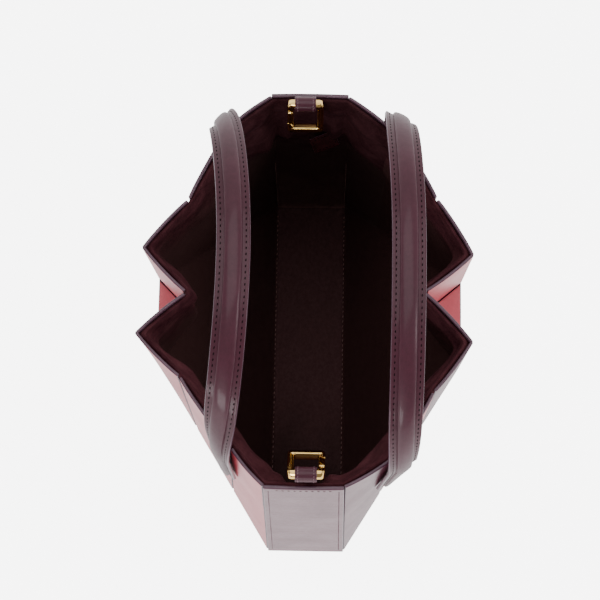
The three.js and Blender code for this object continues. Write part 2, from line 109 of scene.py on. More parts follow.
def unit(v: Points) -> Points:
    """Scale vectors to length one along the last axis."""
    return v / np.maximum(np.linalg.norm(v, axis=-1, keepdims=True), 1e-12)


def smooth_step(t: float) -> float:
    """Ease a share from 0 to 1, clamped."""
    t = min(max(t, 0.0), 1.0)
    return t * t * (3.0 - 2.0 * t)


def ripple(p: Points, size: float, seed: float = 0.0) -> float:
    """Return noise from about -1 to 1 at a place, with waves of one size and the seed's own pattern."""
    return noise.noise(Vector((p[0] / size + seed, p[1] / size - seed, p[2] / size + 2.0 * seed)))


def edge_stops(length: float, near: Sequence[float], step: float, reach: float = 0.45) -> Points:
    """Shares along an edge, close together near both ends.

    Args:
        length: Length of the edge in millimetres.
        near: Distances from each end that get a stop of their own.
        step: Spacing of the stops between them.
        reach: Share of the edge within which a distance still gets a stop.

    Returns:
        Rising shares from 0 to 1.
    """
    inner = [d for d in near if d < reach * length]
    start = inner[-1]
    count = max(2, round((length - 2 * start) / step))
    middle = np.linspace(start, length - start, count + 1)[1:-1]
    stops = inner + list(middle) + [length - d for d in reversed(inner)]
    return np.array(stops) / length


@dataclass
class MeshDraft:
    """Points and faces of one piece before they become a Blender mesh."""

    points: list[Points] = field(default_factory=list)
    faces: list[tuple[int, ...]] = field(default_factory=list)
    finishes: list[int] = field(default_factory=list)
    count: int = 0

    def add_points(self, block: Points) -> int:
        """Add a block of points.

        Args:
            block: Array whose last axis is x, y, z.

        Returns:
            Index of the block's first point.
        """
        flat = np.asarray(block, float).reshape(-1, 3)
        first = self.count
        self.points.append(flat)
        self.count += len(flat)
        return first

    def add_face(self, loop: Sequence[int], finish: int = 0) -> None:
        """Add one face: the point indices round it and the index of its material."""
        self.faces.append(tuple(int(i) for i in loop))
        self.finishes.append(finish)

    def add_grid(self, grid: Points, finish: int | Points = 0, wrap: bool = False,
                 flip: bool = False) -> int:
        """Add a grid of quads.

        Args:
            grid: Points in rows and columns.
            finish: One material index, or one for each quad.
            wrap: Whether the last column joins the first.
            flip: Whether the faces turn the other way.

        Returns:
            Index of the grid's first point.
        """
        rows, columns = grid.shape[:2]
        first = self.add_points(grid)
        last = columns if wrap else columns - 1
        for i in range(rows - 1):
            for j in range(last):
                a = first + i * columns + j
                b = first + i * columns + (j + 1) % columns
                loop = (a, b, b + columns, a + columns)
                kind = finish if isinstance(finish, int) else int(finish[i, j])
                self.add_face(loop[::-1] if flip else loop, kind)
        return first

    def build(self, name: str, materials: Sequence[Material],
              sharp: float = 50.0) -> Piece:
        """Make the Blender object.

        Args:
            name: Name of the piece.
            materials: Its materials, in the order of the faces' indices.
            sharp: Angle in degrees above which an edge is shaded sharp.

        Returns:
            The object, linked to the scene.
        """
        mesh = bpy.data.meshes.new(name)
        mesh.from_pydata((np.concatenate(self.points) * MM).tolist(), [], self.faces)
        for material in materials:
            mesh.materials.append(material)
        mesh.polygons.foreach_set("material_index", self.finishes)
        mesh.polygons.foreach_set("use_smooth", [True] * len(self.faces))
        mesh.set_sharp_from_angle(angle=math.radians(sharp))
        mesh.validate()
        mesh.update()
        piece = bpy.data.objects.new(name, mesh)
        bpy.context.scene.collection.objects.link(piece)
        return piece


def settle(piece: Piece, body: str, nodes: Sequence[str] = ()) -> Piece:
    """Tie a piece to the model.

    Args:
        piece: The finished piece.
        body: Body that it rides on.
        nodes: CAD nodes that it stands for.

    Returns:
        The same piece.
    """
    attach(piece, body)
    if nodes:
        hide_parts(*nodes)
    LOG.info("%s: %d faces on %s", piece.name, len(piece.data.polygons), body)
    return piece


class Shader:
    """Short ways to place and join the nodes of one tree."""

    def __init__(self, tree: Tree) -> None:
        """Keep the tree that the nodes go into."""
        self.tree = tree

    def add(self, kind: str, **values: object) -> Node:
        """Place a node.

        Args:
            kind: Node type.
            values: Its properties by name; a key that names an input sets that input.

        Returns:
            The node.
        """
        node = self.tree.nodes.new(kind)
        for key, value in values.items():
            if hasattr(node, key):
                setattr(node, key, value)
            else:
                self.fill(node, **{key: value})
        return node

    @staticmethod
    def fill(node: Node, **values: object) -> None:
        """Set inputs of a node by name, with _ for each space."""
        for key, value in values.items():
            node.inputs[key.replace("_", " ")].default_value = value

    def join(self, source: Socket, target: Socket) -> None:
        """Link an output to an input."""
        self.tree.links.new(source, target)

    def maths(self, operation: str, a: object, b: object = 0.0) -> Socket:
        """Place a maths node.

        Args:
            operation: Blender's name of the operation.
            a: First socket or number.
            b: Second socket or number.

        Returns:
            The node's output.
        """
        node = self.add("ShaderNodeMath", operation=operation)
        for slot, value in zip(node.inputs, (a, b)):
            if isinstance(value, Socket):
                self.join(value, slot)
            else:
                slot.default_value = value
        return node.outputs[0]

    def mix(self, share: Socket, a: object, b: object) -> Socket:
        """Place a colour mix.

        Args:
            share: Socket with the share of the second colour.
            a: First colour or socket.
            b: Second colour or socket.

        Returns:
            The mixed colour.
        """
        node = self.add("ShaderNodeMix", data_type="RGBA")
        self.join(share, node.inputs[0])
        for slot, value in zip((node.inputs[6], node.inputs[7]), (a, b)):
            if isinstance(value, Socket):
                self.join(value, slot)
            else:
                slot.default_value = (*value, 1.0)
        return node.outputs[2]


def new_group(name: str, inputs: Sequence[tuple[str, str, object]],
              outputs: Sequence[tuple[str, str]]) -> Shader:
    """Start a shader node group.

    Args:
        name: Name of the group.
        inputs: Name, socket type and default of each input.
        outputs: Name and socket type of each output.

    Returns:
        A helper on the group's tree, with its input and output nodes placed.
    """
    tree = bpy.data.node_groups.new(name, "ShaderNodeTree")
    for label, kind, default in inputs:
        socket = tree.interface.new_socket(name=label, in_out="INPUT", socket_type=kind)
        socket.default_value = default
    for label, kind in outputs:
        tree.interface.new_socket(name=label, in_out="OUTPUT", socket_type=kind)
    shader = Shader(tree)
    tree.nodes.new("NodeGroupInput")
    tree.nodes.new("NodeGroupOutput")
    return shader


def group_ends(shader: Shader) -> tuple[bpy.types.NodeOutputs, bpy.types.NodeInputs]:
    """Return the sockets that come into a group and those that go out of it."""
    nodes = shader.tree.nodes
    return nodes["Group Input"].outputs, nodes["Group Output"].inputs


@dataclass
class NodeLibrary:
    """Node groups that several finishes share."""

    pebble_factor: float = 0.24
    pore_height: float = 0.35
    pebble_height: float = 0.4
    fine_factor: float = 14.0
    fine_share: float = 0.35
    drift_range: Pair = (0.34, 0.66)
    mark_range: Pair = (0.52, 0.7)
    hide_grain: Tree | None = None
    shade_drift: Tree | None = None
    fine_scratch: Tree | None = None

    def build(self) -> None:
        """Make each group once."""
        self.hide_grain = self.build_hide_grain()
        self.shade_drift = self.build_shade_drift()
        self.fine_scratch = self.build_fine_scratch()

    def build_hide_grain(self) -> Tree:
        """Make the leather grain: pores, pebbling and drawn-out creases.

        Returns:
            The group, which puts out a height.
        """
        inputs = [("Pore Scale", "NodeSocketFloat", 1500.0),
                  ("Crease Amount", "NodeSocketFloat", 0.4),
                  ("Crease Stretch", "NodeSocketVector", (60.0, 60.0, 420.0))]
        shader = new_group("Hide Grain", inputs, [("Height", "NodeSocketFloat")])
        taken, given = group_ends(shader)
        place = shader.add("ShaderNodeTexCoord")
        pores = shader.add("ShaderNodeTexVoronoi", feature="SMOOTH_F1")
        shader.join(place.outputs["Object"], pores.inputs["Vector"])
        shader.join(taken["Pore Scale"], pores.inputs["Scale"])
        pebble = shader.add("ShaderNodeTexNoise", Detail=3.0, Roughness=0.55)
        shader.join(place.outputs["Object"], pebble.inputs["Vector"])
        pebble_scale = shader.maths("MULTIPLY", taken["Pore Scale"], self.pebble_factor)
        shader.join(pebble_scale, pebble.inputs["Scale"])
        drawn = shader.add("ShaderNodeVectorMath", operation="MULTIPLY")
        shader.join(place.outputs["Object"], drawn.inputs[0])
        shader.join(taken["Crease Stretch"], drawn.inputs[1])
        crease = shader.add("ShaderNodeTexNoise", Scale=1.0, Detail=4.0, Roughness=0.6, Distortion=0.7)
        shader.join(drawn.outputs[0], crease.inputs["Vector"])
        fine = shader.maths("MULTIPLY", pores.outputs["Distance"], self.pore_height)
        coarse = shader.maths("MULTIPLY", pebble.outputs[0], self.pebble_height)
        grain = shader.maths("ADD", fine, coarse)
        folds = shader.maths("MULTIPLY", crease.outputs[0], taken["Crease Amount"])
        shader.join(shader.maths("ADD", grain, folds), given["Height"])
        return shader.tree

    def build_shade_drift(self) -> Tree:
        """Make the slow drift of colour and gloss over a hide.

        Returns:
            The group, which puts out a colour and a roughness.
        """
        inputs = [("Light", "NodeSocketColor", (0.5, 0.5, 0.5, 1.0)),
                  ("Dark", "NodeSocketColor", (0.1, 0.1, 0.1, 1.0)),
                  ("Patch Scale", "NodeSocketFloat", 30.0),
                  ("Low Gloss", "NodeSocketFloat", 0.5),
                  ("High Gloss", "NodeSocketFloat", 0.35)]
        outputs = [("Color", "NodeSocketColor"), ("Roughness", "NodeSocketFloat")]
        shader = new_group("Shade Drift", inputs, outputs)
        taken, given = group_ends(shader)
        place = shader.add("ShaderNodeTexCoord")
        broad = shader.add("ShaderNodeTexNoise", Detail=4.0, Roughness=0.6)
        fine = shader.add("ShaderNodeTexNoise", Detail=3.0, Roughness=0.65)
        for node, factor in ((broad, 1.0), (fine, self.fine_factor)):
            shader.join(place.outputs["Object"], node.inputs["Vector"])
            shader.join(shader.maths("MULTIPLY", taken["Patch Scale"], factor), node.inputs["Scale"])
        mean = shader.maths("ADD", shader.maths("MULTIPLY", broad.outputs[0], 1.0 - self.fine_share),
                            shader.maths("MULTIPLY", fine.outputs[0], self.fine_share))
        low, high = self.drift_range
        spread = shader.add("ShaderNodeMapRange", clamp=True, From_Min=low, From_Max=high)
        shader.join(mean, spread.inputs["Value"])
        share = spread.outputs["Result"]
        shader.join(shader.mix(share, taken["Dark"], taken["Light"]), given["Color"])
        gloss = shader.add("ShaderNodeMapRange", clamp=True)
        shader.join(share, gloss.inputs["Value"])
        shader.join(taken["Low Gloss"], gloss.inputs["To Min"])
        shader.join(taken["High Gloss"], gloss.inputs["To Max"])
        shader.join(gloss.outputs["Result"], given["Roughness"])
        return shader.tree

    def build_fine_scratch(self) -> Tree:
        """Make the hairline marks of polished metal and lacquered edges.

        Returns:
            The group, which puts out a height and a mask.
        """
        inputs = [("Scale", "NodeSocketFloat", 900.0),
                  ("Stretch", "NodeSocketVector", (1.0, 0.08, 0.08))]
        outputs = [("Height", "NodeSocketFloat"), ("Mask", "NodeSocketFloat")]
        shader = new_group("Fine Scratch", inputs, outputs)
        taken, given = group_ends(shader)
        place = shader.add("ShaderNodeTexCoord")
        drawn = shader.add("ShaderNodeVectorMath", operation="MULTIPLY")
        shader.join(place.outputs["Object"], drawn.inputs[0])
        shader.join(taken["Stretch"], drawn.inputs[1])
        marks = shader.add("ShaderNodeTexNoise", Detail=5.0, Roughness=0.7)
        shader.join(drawn.outputs[0], marks.inputs["Vector"])
        shader.join(taken["Scale"], marks.inputs["Scale"])
        low, high = self.mark_range
        lines = shader.add("ShaderNodeMapRange", clamp=True, From_Min=low, From_Max=high)
        shader.join(marks.outputs[0], lines.inputs["Value"])
        shader.join(marks.outputs[0], given["Height"])
        shader.join(lines.outputs["Result"], given["Mask"])
        return shader.tree


def start_material(name: str) -> tuple[Material, Shader, Node]:
    """Start a material with its Principled shader.

    Args:
        name: Name of the material.

    Returns:
        The material, a helper on its tree and the Principled node.
    """
    material = bpy.data.materials.new(name)
    material.use_nodes = True
    shader = Shader(material.node_tree)
    return material, shader, material.node_tree.nodes["Principled BSDF"]


def add_relief(shader: Shader, height: Socket, surface: Node, relief: Pair) -> None:
    """Feed a height into a shader's normal.

    Args:
        shader: Helper on the material's tree.
        height: Socket with the height.
        surface: The Principled node.
        relief: Full depth of the relief in metres, and the share of it that shows.
    """
    distance, strength = relief
    bump = shader.add("ShaderNodeBump", Distance=distance, Strength=strength)
    shader.join(height, bump.inputs["Height"])
    shader.join(bump.outputs["Normal"], surface.inputs["Normal"])


@dataclass(frozen=True)
class DriftFinish:
    """A finish whose colour and gloss drift slowly over the surface."""

    name: str
    light: Colour
    dark: Colour
    gloss: Pair = (0.46, 0.34)
    patch_scale: float = 26.0
    coat: float = 0.0
    coat_gloss: float = 0.03
    mirror: float = 0.5
    metal: float = 0.0
    relief: Pair = (0.00012, 0.55)

    def make(self, library: NodeLibrary) -> Material:
        """Build the material.

        Args:
            library: Shared node groups.

        Returns:
            The material.
        """
        material, shader, surface = start_material(self.name)
        drift = shader.add("ShaderNodeGroup", node_tree=library.shade_drift, Light=(*self.light, 1.0),
                           Dark=(*self.dark, 1.0), Patch_Scale=self.patch_scale,
                           Low_Gloss=self.gloss[0], High_Gloss=self.gloss[1])
        shader.join(drift.outputs["Color"], surface.inputs["Base Color"])
        height, rough = self.detail(shader, library, drift.outputs["Roughness"])
        shader.join(rough, surface.inputs["Roughness"])
        shader.fill(surface, Metallic=self.metal, Coat_Weight=self.coat, Coat_Roughness=self.coat_gloss,
                    Specular_IOR_Level=self.mirror)
        add_relief(shader, height, surface, self.relief)
        return material

    def detail(self, shader: Shader, library: NodeLibrary, rough: Socket) -> tuple[Socket, Socket]:
        """Add what is the finish's own.

        Args:
            shader: Helper on the material's tree.
            library: Shared node groups.
            rough: Socket with the drifting roughness.

        Returns:
            Sockets with the height of the relief and with the roughness.
        """
        raise NotImplementedError


@dataclass(frozen=True)
class LeatherFinish(DriftFinish):
    """Smooth dyed calf leather with a light polish."""

    coat: float = 0.25
    coat_gloss: float = 0.28
    pore_scale: float = 1500.0
    crease: float = 0.35
    crease_stretch: Triple = (60.0, 60.0, 420.0)

    def detail(self, shader: Shader, library: NodeLibrary, rough: Socket) -> tuple[Socket, Socket]:
        """Add the grain of the hide."""
        grain = shader.add("ShaderNodeGroup", node_tree=library.hide_grain, Pore_Scale=self.pore_scale,
                           Crease_Amount=self.crease, Crease_Stretch=self.crease_stretch)
        return grain.outputs["Height"], rough


@dataclass(frozen=True)
class EdgePaintFinish(DriftFinish):
    """Lacquer on the cut edges of the leather."""

    gloss: Pair = (0.42, 0.3)
    patch_scale: float = 90.0
    coat: float = 0.3
    coat_gloss: float = 0.2
    relief: Pair = (0.0001, 0.5)
    mark_scale: float = 500.0
    mark_stretch: Triple = (1.0, 1.0, 0.5)

    def detail(self, shader: Shader, library: NodeLibrary, rough: Socket) -> tuple[Socket, Socket]:
        """Add the marks of the brush."""
        marks = shader.add("ShaderNodeGroup", node_tree=library.fine_scratch, Scale=self.mark_scale,
                           Stretch=self.mark_stretch)
        return marks.outputs["Height"], rough


@dataclass(frozen=True)
class GoldFinish(DriftFinish):
    """Polished gold plate with hairline marks."""

    gloss: Pair = (0.07, 0.04)
    patch_scale: float = 160.0
    metal: float = 1.0
    relief: Pair = (0.00002, 0.12)
    mark_scale: float = 2400.0
    wear: float = 0.04

    def detail(self, shader: Shader, library: NodeLibrary, rough: Socket) -> tuple[Socket, Socket]:
        """Add the hairlines, which are rougher than the plate."""
        marks = shader.add("ShaderNodeGroup", node_tree=library.fine_scratch, Scale=self.mark_scale)
        worn = shader.maths("MULTIPLY", marks.outputs["Mask"], self.wear)
        return marks.outputs["Height"], shader.maths("ADD", rough, worn)


@dataclass(frozen=True)
class ThreadFinish(DriftFinish):
    """Waxed twisted thread."""

    gloss: Pair = (0.7, 0.5)
    patch_scale: float = 400.0
    mirror: float = 0.06
    relief: Pair = (0.00015, 0.6)
    twist_scale: float = 900.0

    def detail(self, shader: Shader, library: NodeLibrary, rough: Socket) -> tuple[Socket, Socket]:
        """Add the twist of the yarns."""
        place = shader.add("ShaderNodeTexCoord")
        twist = shader.add("ShaderNodeTexWave", Scale=self.twist_scale, Distortion=1.0,
                           bands_direction="DIAGONAL")
        shader.join(place.outputs["Object"], twist.inputs["Vector"])
        return twist.outputs["Fac"], rough


@dataclass(frozen=True)
class SuedeFinish:
    """Brushed suede whose nap lies in lighter and darker strokes."""

    name: str
    light: Colour
    dark: Colour
    deep: Colour
    stroke: Triple
    fade: Pair = (0.165, 0.212)
    fade_along: Axis = Axis.Z
    nap: Pair = (0.34, 0.7)
    rough: Pair = (0.95, 0.82)
    sheen: float = 0.15
    sheen_rough: float = 0.5
    mirror: float = 0.15
    cloud_scale: float = 38.0
    cloud_shift: float = 0.075
    pore_scale: float = 2600.0
    crease: float = 0.5
    crease_stretch: Triple = (90.0, 90.0, 160.0)
    relief: Pair = (0.0004, 0.6)

    def make(self, library: NodeLibrary) -> Material:
        """Build the material.

        Args:
            library: Shared node groups.

        Returns:
            The material.
        """
        material, shader, surface = start_material(self.name)
        place = shader.add("ShaderNodeTexCoord")
        drawn = shader.add("ShaderNodeVectorMath", operation="MULTIPLY")
        drawn.inputs[1].default_value = self.stroke
        shader.join(place.outputs["Object"], drawn.inputs[0])
        strokes = shader.add("ShaderNodeTexNoise", Scale=1.0, Detail=5.0, Roughness=0.62, Distortion=0.5)
        shader.join(drawn.outputs[0], strokes.inputs["Vector"])
        spread = shader.add("ShaderNodeMapRange", clamp=True, From_Min=self.nap[0], From_Max=self.nap[1])
        shader.join(strokes.outputs[0], spread.inputs["Value"])
        tone = shader.mix(spread.outputs["Result"], self.dark, self.light)
        tone = shader.mix(self.fade_share(shader, place.outputs["Object"]), self.deep, tone)
        shader.join(tone, surface.inputs["Base Color"])
        rough = shader.add("ShaderNodeMapRange", clamp=True, To_Min=self.rough[0], To_Max=self.rough[1])
        shader.join(spread.outputs["Result"], rough.inputs["Value"])
        shader.join(rough.outputs["Result"], surface.inputs["Roughness"])
        shader.fill(surface, Sheen_Weight=self.sheen, Sheen_Roughness=self.sheen_rough,
                    Sheen_Tint=(*self.light, 1.0), Specular_IOR_Level=self.mirror)
        grain = shader.add("ShaderNodeGroup", node_tree=library.hide_grain, Pore_Scale=self.pore_scale,
                           Crease_Amount=self.crease, Crease_Stretch=self.crease_stretch)
        add_relief(shader, grain.outputs["Height"], surface, self.relief)
        return material

    def fade_share(self, shader: Shader, place: Socket) -> Socket:
        """Tell the brushed part of the suede from its deep part, such as low in the bag or, on the base
        strip, at its front end, where the deep tone is painted shade.

        Args:
            shader: Helper on the material's tree.
            place: Socket with the place in metres.

        Returns:
            Share that is 0 at the fade's first value and 1 at its second, with a cloudy border.
        """
        split = shader.add("ShaderNodeSeparateXYZ")
        shader.join(place, split.inputs[0])
        clouds = shader.add("ShaderNodeTexNoise", Scale=self.cloud_scale, Detail=3.0, Roughness=0.55)
        shader.join(place, clouds.inputs["Vector"])
        centred = shader.maths("SUBTRACT", clouds.outputs[0], 0.5)
        shift = shader.maths("MULTIPLY", centred, self.cloud_shift)
        height = shader.add("ShaderNodeMapRange", clamp=True, interpolation_type="SMOOTHSTEP",
                            From_Min=self.fade[0], From_Max=self.fade[1])
        shader.join(shader.maths("ADD", split.outputs[self.fade_along.value], shift), height.inputs["Value"])
        return height.outputs["Result"]


@dataclass(frozen=True)
class FloorFinish:
    """Pale, evenly lit studio floor."""

    name: str
    tone: float
    glow: float
    seen_glow: float
    rough: float = 0.9
    mirror: float = 0.1

    def make(self) -> Material:
        """Build the material, which looks whiter than the light that it throws on the bag.

        Returns:
            The material.
        """
        material, shader, surface = start_material(self.name)
        shader.fill(surface, Base_Color=(self.tone, self.tone, self.tone, 1.0), Roughness=self.rough,
                    Specular_IOR_Level=self.mirror, Emission_Strength=1.0)
        rays = shader.add("ShaderNodeLightPath")
        glow = shader.mix(rays.outputs["Is Camera Ray"], (self.glow,) * 3, (self.seen_glow,) * 3)
        shader.join(glow, surface.inputs["Emission Color"])
        return material


@dataclass
class Wardrobe:
    """All the finishes of the bag, made once."""

    plum: LeatherFinish = LeatherFinish("plum_leather", (0.165, 0.034, 0.066), (0.105, 0.018, 0.04))
    strip: LeatherFinish = LeatherFinish(
        "plum_band_leather", (0.17, 0.04, 0.072), (0.115, 0.024, 0.048), crease=1.6,
        crease_stretch=(26.0, 40.0, 560.0), relief=(0.00035, 0.55))
    roll: LeatherFinish = LeatherFinish(
        "plum_handle_leather", (0.085, 0.016, 0.033), (0.061, 0.011, 0.023), gloss=(0.54, 0.44), coat=0.2,
        coat_gloss=0.13, mirror=0.34, crease=0.25)
    coral: LeatherFinish = LeatherFinish(
        "coral_leather", (0.64, 0.085, 0.115), (0.52, 0.055, 0.08), coat=0.3)
    patch: LeatherFinish = LeatherFinish(
        "patch_leather", (0.045, 0.002, 0.005), (0.018, 0.001, 0.002), gloss=(0.62, 0.5), coat=0.0,
        mirror=0.1, patch_scale=120.0)
    edge: EdgePaintFinish = EdgePaintFinish(
        "plum_edge_paint", (0.135, 0.058, 0.093), (0.09, 0.038, 0.063))
    suede: SuedeFinish = SuedeFinish(
        "burgundy_suede", (0.1, 0.027, 0.034), (0.04, 0.007, 0.012), deep=(0.066, 0.027, 0.026),
        stroke=(70.0, 70.0, 150.0))
    # Back-end suede: its brushed tones above 160 mm are painted shade, darker than the front facing. Its
    # deep tone below 135 mm is painted light, lighter than the facing and than the deep tone elsewhere.
    back_suede: SuedeFinish = SuedeFinish(
        "burgundy_back_suede", (0.066, 0.019, 0.024), (0.028, 0.005, 0.008), deep=(0.074, 0.036, 0.034),
        stroke=(70.0, 70.0, 110.0), fade=(0.135, 0.16))
    # Base-strip suede: its deep tone is painted shade. It darkens the strip from the middle of the base (y =
    # 0) to y = -110 mm, and the whole front-wall strip.
    base_suede: SuedeFinish = SuedeFinish(
        "brown_suede", (0.1, 0.045, 0.046), (0.078, 0.034, 0.035), deep=(0.038, 0.018, 0.017),
        stroke=(560.0, 420.0, 420.0), fade=(-0.11, 0.0), fade_along=Axis.Y, sheen=0.2)
    # Back-wall strip suede: its brushed tones are painted light, lighter than the base strip. They are
    # brightest up to 20 mm and fade to the deep tone by 104 mm.
    end_suede: SuedeFinish = SuedeFinish(
        "brown_end_suede", (0.17, 0.085, 0.08), (0.135, 0.065, 0.061), deep=(0.074, 0.036, 0.034),
        stroke=(560.0, 420.0, 420.0), fade=(0.104, 0.02))
    gold: GoldFinish = GoldFinish("gold_plate", (0.95, 0.66, 0.25), (0.82, 0.52, 0.16))
    thread: ThreadFinish = ThreadFinish("plum_thread", (0.014, 0.003, 0.006), (0.007, 0.002, 0.003))
    band_thread: ThreadFinish = ThreadFinish("rose_thread", (0.12, 0.036, 0.056), (0.07, 0.02, 0.034))
    tab_thread: ThreadFinish = ThreadFinish("pale_rose_thread", (0.4, 0.25, 0.28), (0.28, 0.16, 0.19))
    brown_thread: ThreadFinish = ThreadFinish("brown_thread", (0.32, 0.19, 0.175), (0.2, 0.11, 0.1))
    made: dict[str, Material] = field(default_factory=dict)

    def build(self, library: NodeLibrary) -> None:
        """Make every material.

        Args:
            library: Shared node groups.
        """
        for entry in fields(self):
            if entry.name != "made":
                self.made[entry.name] = getattr(self, entry.name).make(library)

    def get(self, *keys: str) -> list[Material]:
        """Return the materials with these names."""
        return [self.made[key] for key in keys]

    def hide(self, hide: Hide) -> Material:
        """Return the material of a leather colour."""
        return self.made[hide.label]


@dataclass
class BagPattern:
    """Corners of the folded bag: rim, inward side folds, keel lines and base."""

    rim_z: float = 220.0
    band_proud: float = 0.8
    end_bow: float = 0.4
    keel_side: float = 0.33
    keel_corner: float = 0.65
    rim: dict[str, dict[str, Pair]] = field(default_factory=lambda: {
        "front_left": {"S": (24.0, 119.4), "H1": (43.8, 97.0), "H2": (75.7, 54.2), "A": (103.0, 27.2)},
        "front_right": {"S": (24.0, 119.4), "H1": (52.3, 102.0), "H2": (77.2, 61.2), "A": (100.2, 29.8)},
        "back_left": {"S": (24.0, 125.5), "H1": (49.4, 105.6), "H2": (73.8, 57.4), "A": (100.6, 26.2)},
        "back_right": {"S": (24.0, 125.5), "H1": (55.2, 101.0), "H2": (79.0, 60.0), "A": (101.0, 24.2)},
    })
    fold: dict[str, dict[str, Triple]] = field(default_factory=lambda: {
        "left": {"F": (74.0, -1.6, 220.0), "V": (72.6, -1.4, 170.5), "C": (95.5, 25.8, 154.0)},
        "right": {"F": (72.2, 0.6, 220.0), "V": (72.6, 0.4, 170.5), "C": (98.0, 25.8, 154.0)},
    })
    base_corner: Triple = (26.0, 126.0, 0.8)

    def corner(self, key: str, sx: int, sy: int) -> Points:
        """Find one corner of the pattern.

        Args:
            key: Corner letter: S, H1, H2, A, F, V, C, s, k1 or k2.
            sx: Sign along X.
            sy: Sign along Y.

        Returns:
            The corner in millimetres.
        """
        side = self.fold["left" if sx < 0 else "right"]
        if key in ("F", "V"):
            return np.array([side[key][0] * sx, side[key][1], side[key][2]])
        base = np.array(self.base_corner)
        top = np.array(side["C"])
        shares = {"s": 0.0, "k1": self.keel_side, "k2": self.keel_corner, "C": 1.0}
        if key in shares:
            p = base + (top - base) * shares[key]
        else:
            quarter = f"{'front' if sy < 0 else 'back'}_{'left' if sx < 0 else 'right'}"
            p = np.array([*self.rim[quarter][key], self.rim_z])
        return p * np.array([sx, sy, 1.0])

    def bow(self, u: float, v: float) -> float:
        """Tell how far an end wall bows out, u across it and v down from the rim."""
        return self.end_bow * 4.0 * u * (1.0 - u) * (1.0 - v) ** 2

    def end_wall(self, end: End, x: float, z: float) -> float:
        """Measure an end wall.

        Args:
            end: Which end.
            x: Place across the wall.
            z: Height.

        Returns:
            Distance of the wall's line from the bag's middle.
        """
        rim = np.abs(self.corner("S", 1, end.value))
        v = 1.0 - z / self.rim_z
        u = (x / rim[0] + 1.0) / 2.0
        return rim[1] + (self.base_corner[1] - rim[1]) * v + self.bow(u, v)


@dataclass
class LeatherSlab:
    """A sheet of leather on a grid of its outer face, with rounded painted edges."""

    face: Points
    normal: Points
    from_edge: Points
    thickness: float
    edge_radius: float = 0.7
    back_drop: float = 0.8
    painted_share: float = 0.55

    def drop(self) -> Points:
        """Return how far the rounded edge falls away at each grid point."""
        r = self.edge_radius
        inside = np.clip(r - self.from_edge, 0.0, r)
        return r - np.sqrt(np.maximum(r * r - inside * inside, 0.0))

    def draft(self) -> MeshDraft:
        """Lay out the closed mesh.

        Returns:
            A draft whose face has finish 0 and whose edges have finish 1.
        """
        rows, columns = self.face.shape[:2]
        drop = self.drop()[..., None]
        outer = self.face - self.normal * drop
        inner = self.face - self.normal * (self.thickness - drop * self.back_drop)
        middle = (self.from_edge[:-1, :-1] + self.from_edge[1:, 1:]) / 2.0
        painted = (middle < self.edge_radius * self.painted_share).astype(int)
        draft = MeshDraft()
        draft.add_grid(outer, painted)
        below = draft.add_grid(inner, 1, flip=True)
        loop = [(0, j) for j in range(columns - 1)] + [(i, columns - 1) for i in range(rows - 1)]
        loop += [(rows - 1, j) for j in range(columns - 1, 0, -1)]
        loop += [(i, 0) for i in range(rows - 1, 0, -1)]
        for (i, j), (k, m) in zip(loop, loop[1:] + loop[:1]):
            a = i * columns + j
            b = k * columns + m
            draft.add_face((b, a, below + a, below + b), 1)
        return draft


def quad_grid(corners: Points, us: Points, vs: Points) -> Points:
    """Blend four corners over a grid.

    Args:
        corners: Values at the corners in order: start, end of v, opposite, end of u.
        us: Shares along u.
        vs: Shares along v.

    Returns:
        Blended values, u along the first axis.
    """
    u = us[:, None, None]
    v = vs[None, :, None]
    a, b, c, d = (np.asarray(x, float) for x in corners)
    return (a * (1 - v) + b * v) * (1 - u) + (d * (1 - v) + c * v) * u


def grid_normals(grid: Points) -> Points:
    """Measure the normals of a grid of points.

    Args:
        grid: Points, u along the first axis and v along the second.

    Returns:
        Unit normals along v cross u.
    """
    along_u = np.gradient(grid, axis=0)
    along_v = np.gradient(grid, axis=1)
    return unit(np.cross(along_v, along_u))


def edge_distances(grid: Points) -> Points:
    """Measure how far each point of a grid is from the grid's nearest edge.

    Args:
        grid: Points of the sheet.

    Returns:
        Distances in millimetres.
    """
    def runs(axis: int) -> Points:
        """Return the distance to the nearer end of each line along one axis."""
        steps = np.linalg.norm(np.diff(grid, axis=axis), axis=-1)
        zero = np.zeros_like(np.take(steps, [0], axis=axis))
        along = np.concatenate([zero, np.cumsum(steps, axis=axis)], axis=axis)
        total = np.take(along, [-1], axis=axis)
        return np.minimum(along, total - along)

    return np.minimum(runs(0), runs(1))


@dataclass
class PanelCut:
    """One flat panel of the pattern: its corners and the seam allowance at each edge."""

    name: str
    corners: Points
    seams: Stops
    hide: Hide
    least_sine: float = 0.2

    def seamed_corners(self) -> list[Points]:
        """Return the corners moved in from their edges."""
        moved = []
        count = len(self.corners)
        for i, p in enumerate(self.corners):
            to_next = unit(self.corners[(i + 1) % count] - p)
            to_prev = unit(self.corners[i - 1] - p)
            sine = max(np.linalg.norm(np.cross(to_next, to_prev)), self.least_sine)
            moved.append(p + to_next * (self.seams[i - 1] / sine) + to_prev * (self.seams[i] / sine))
        return moved


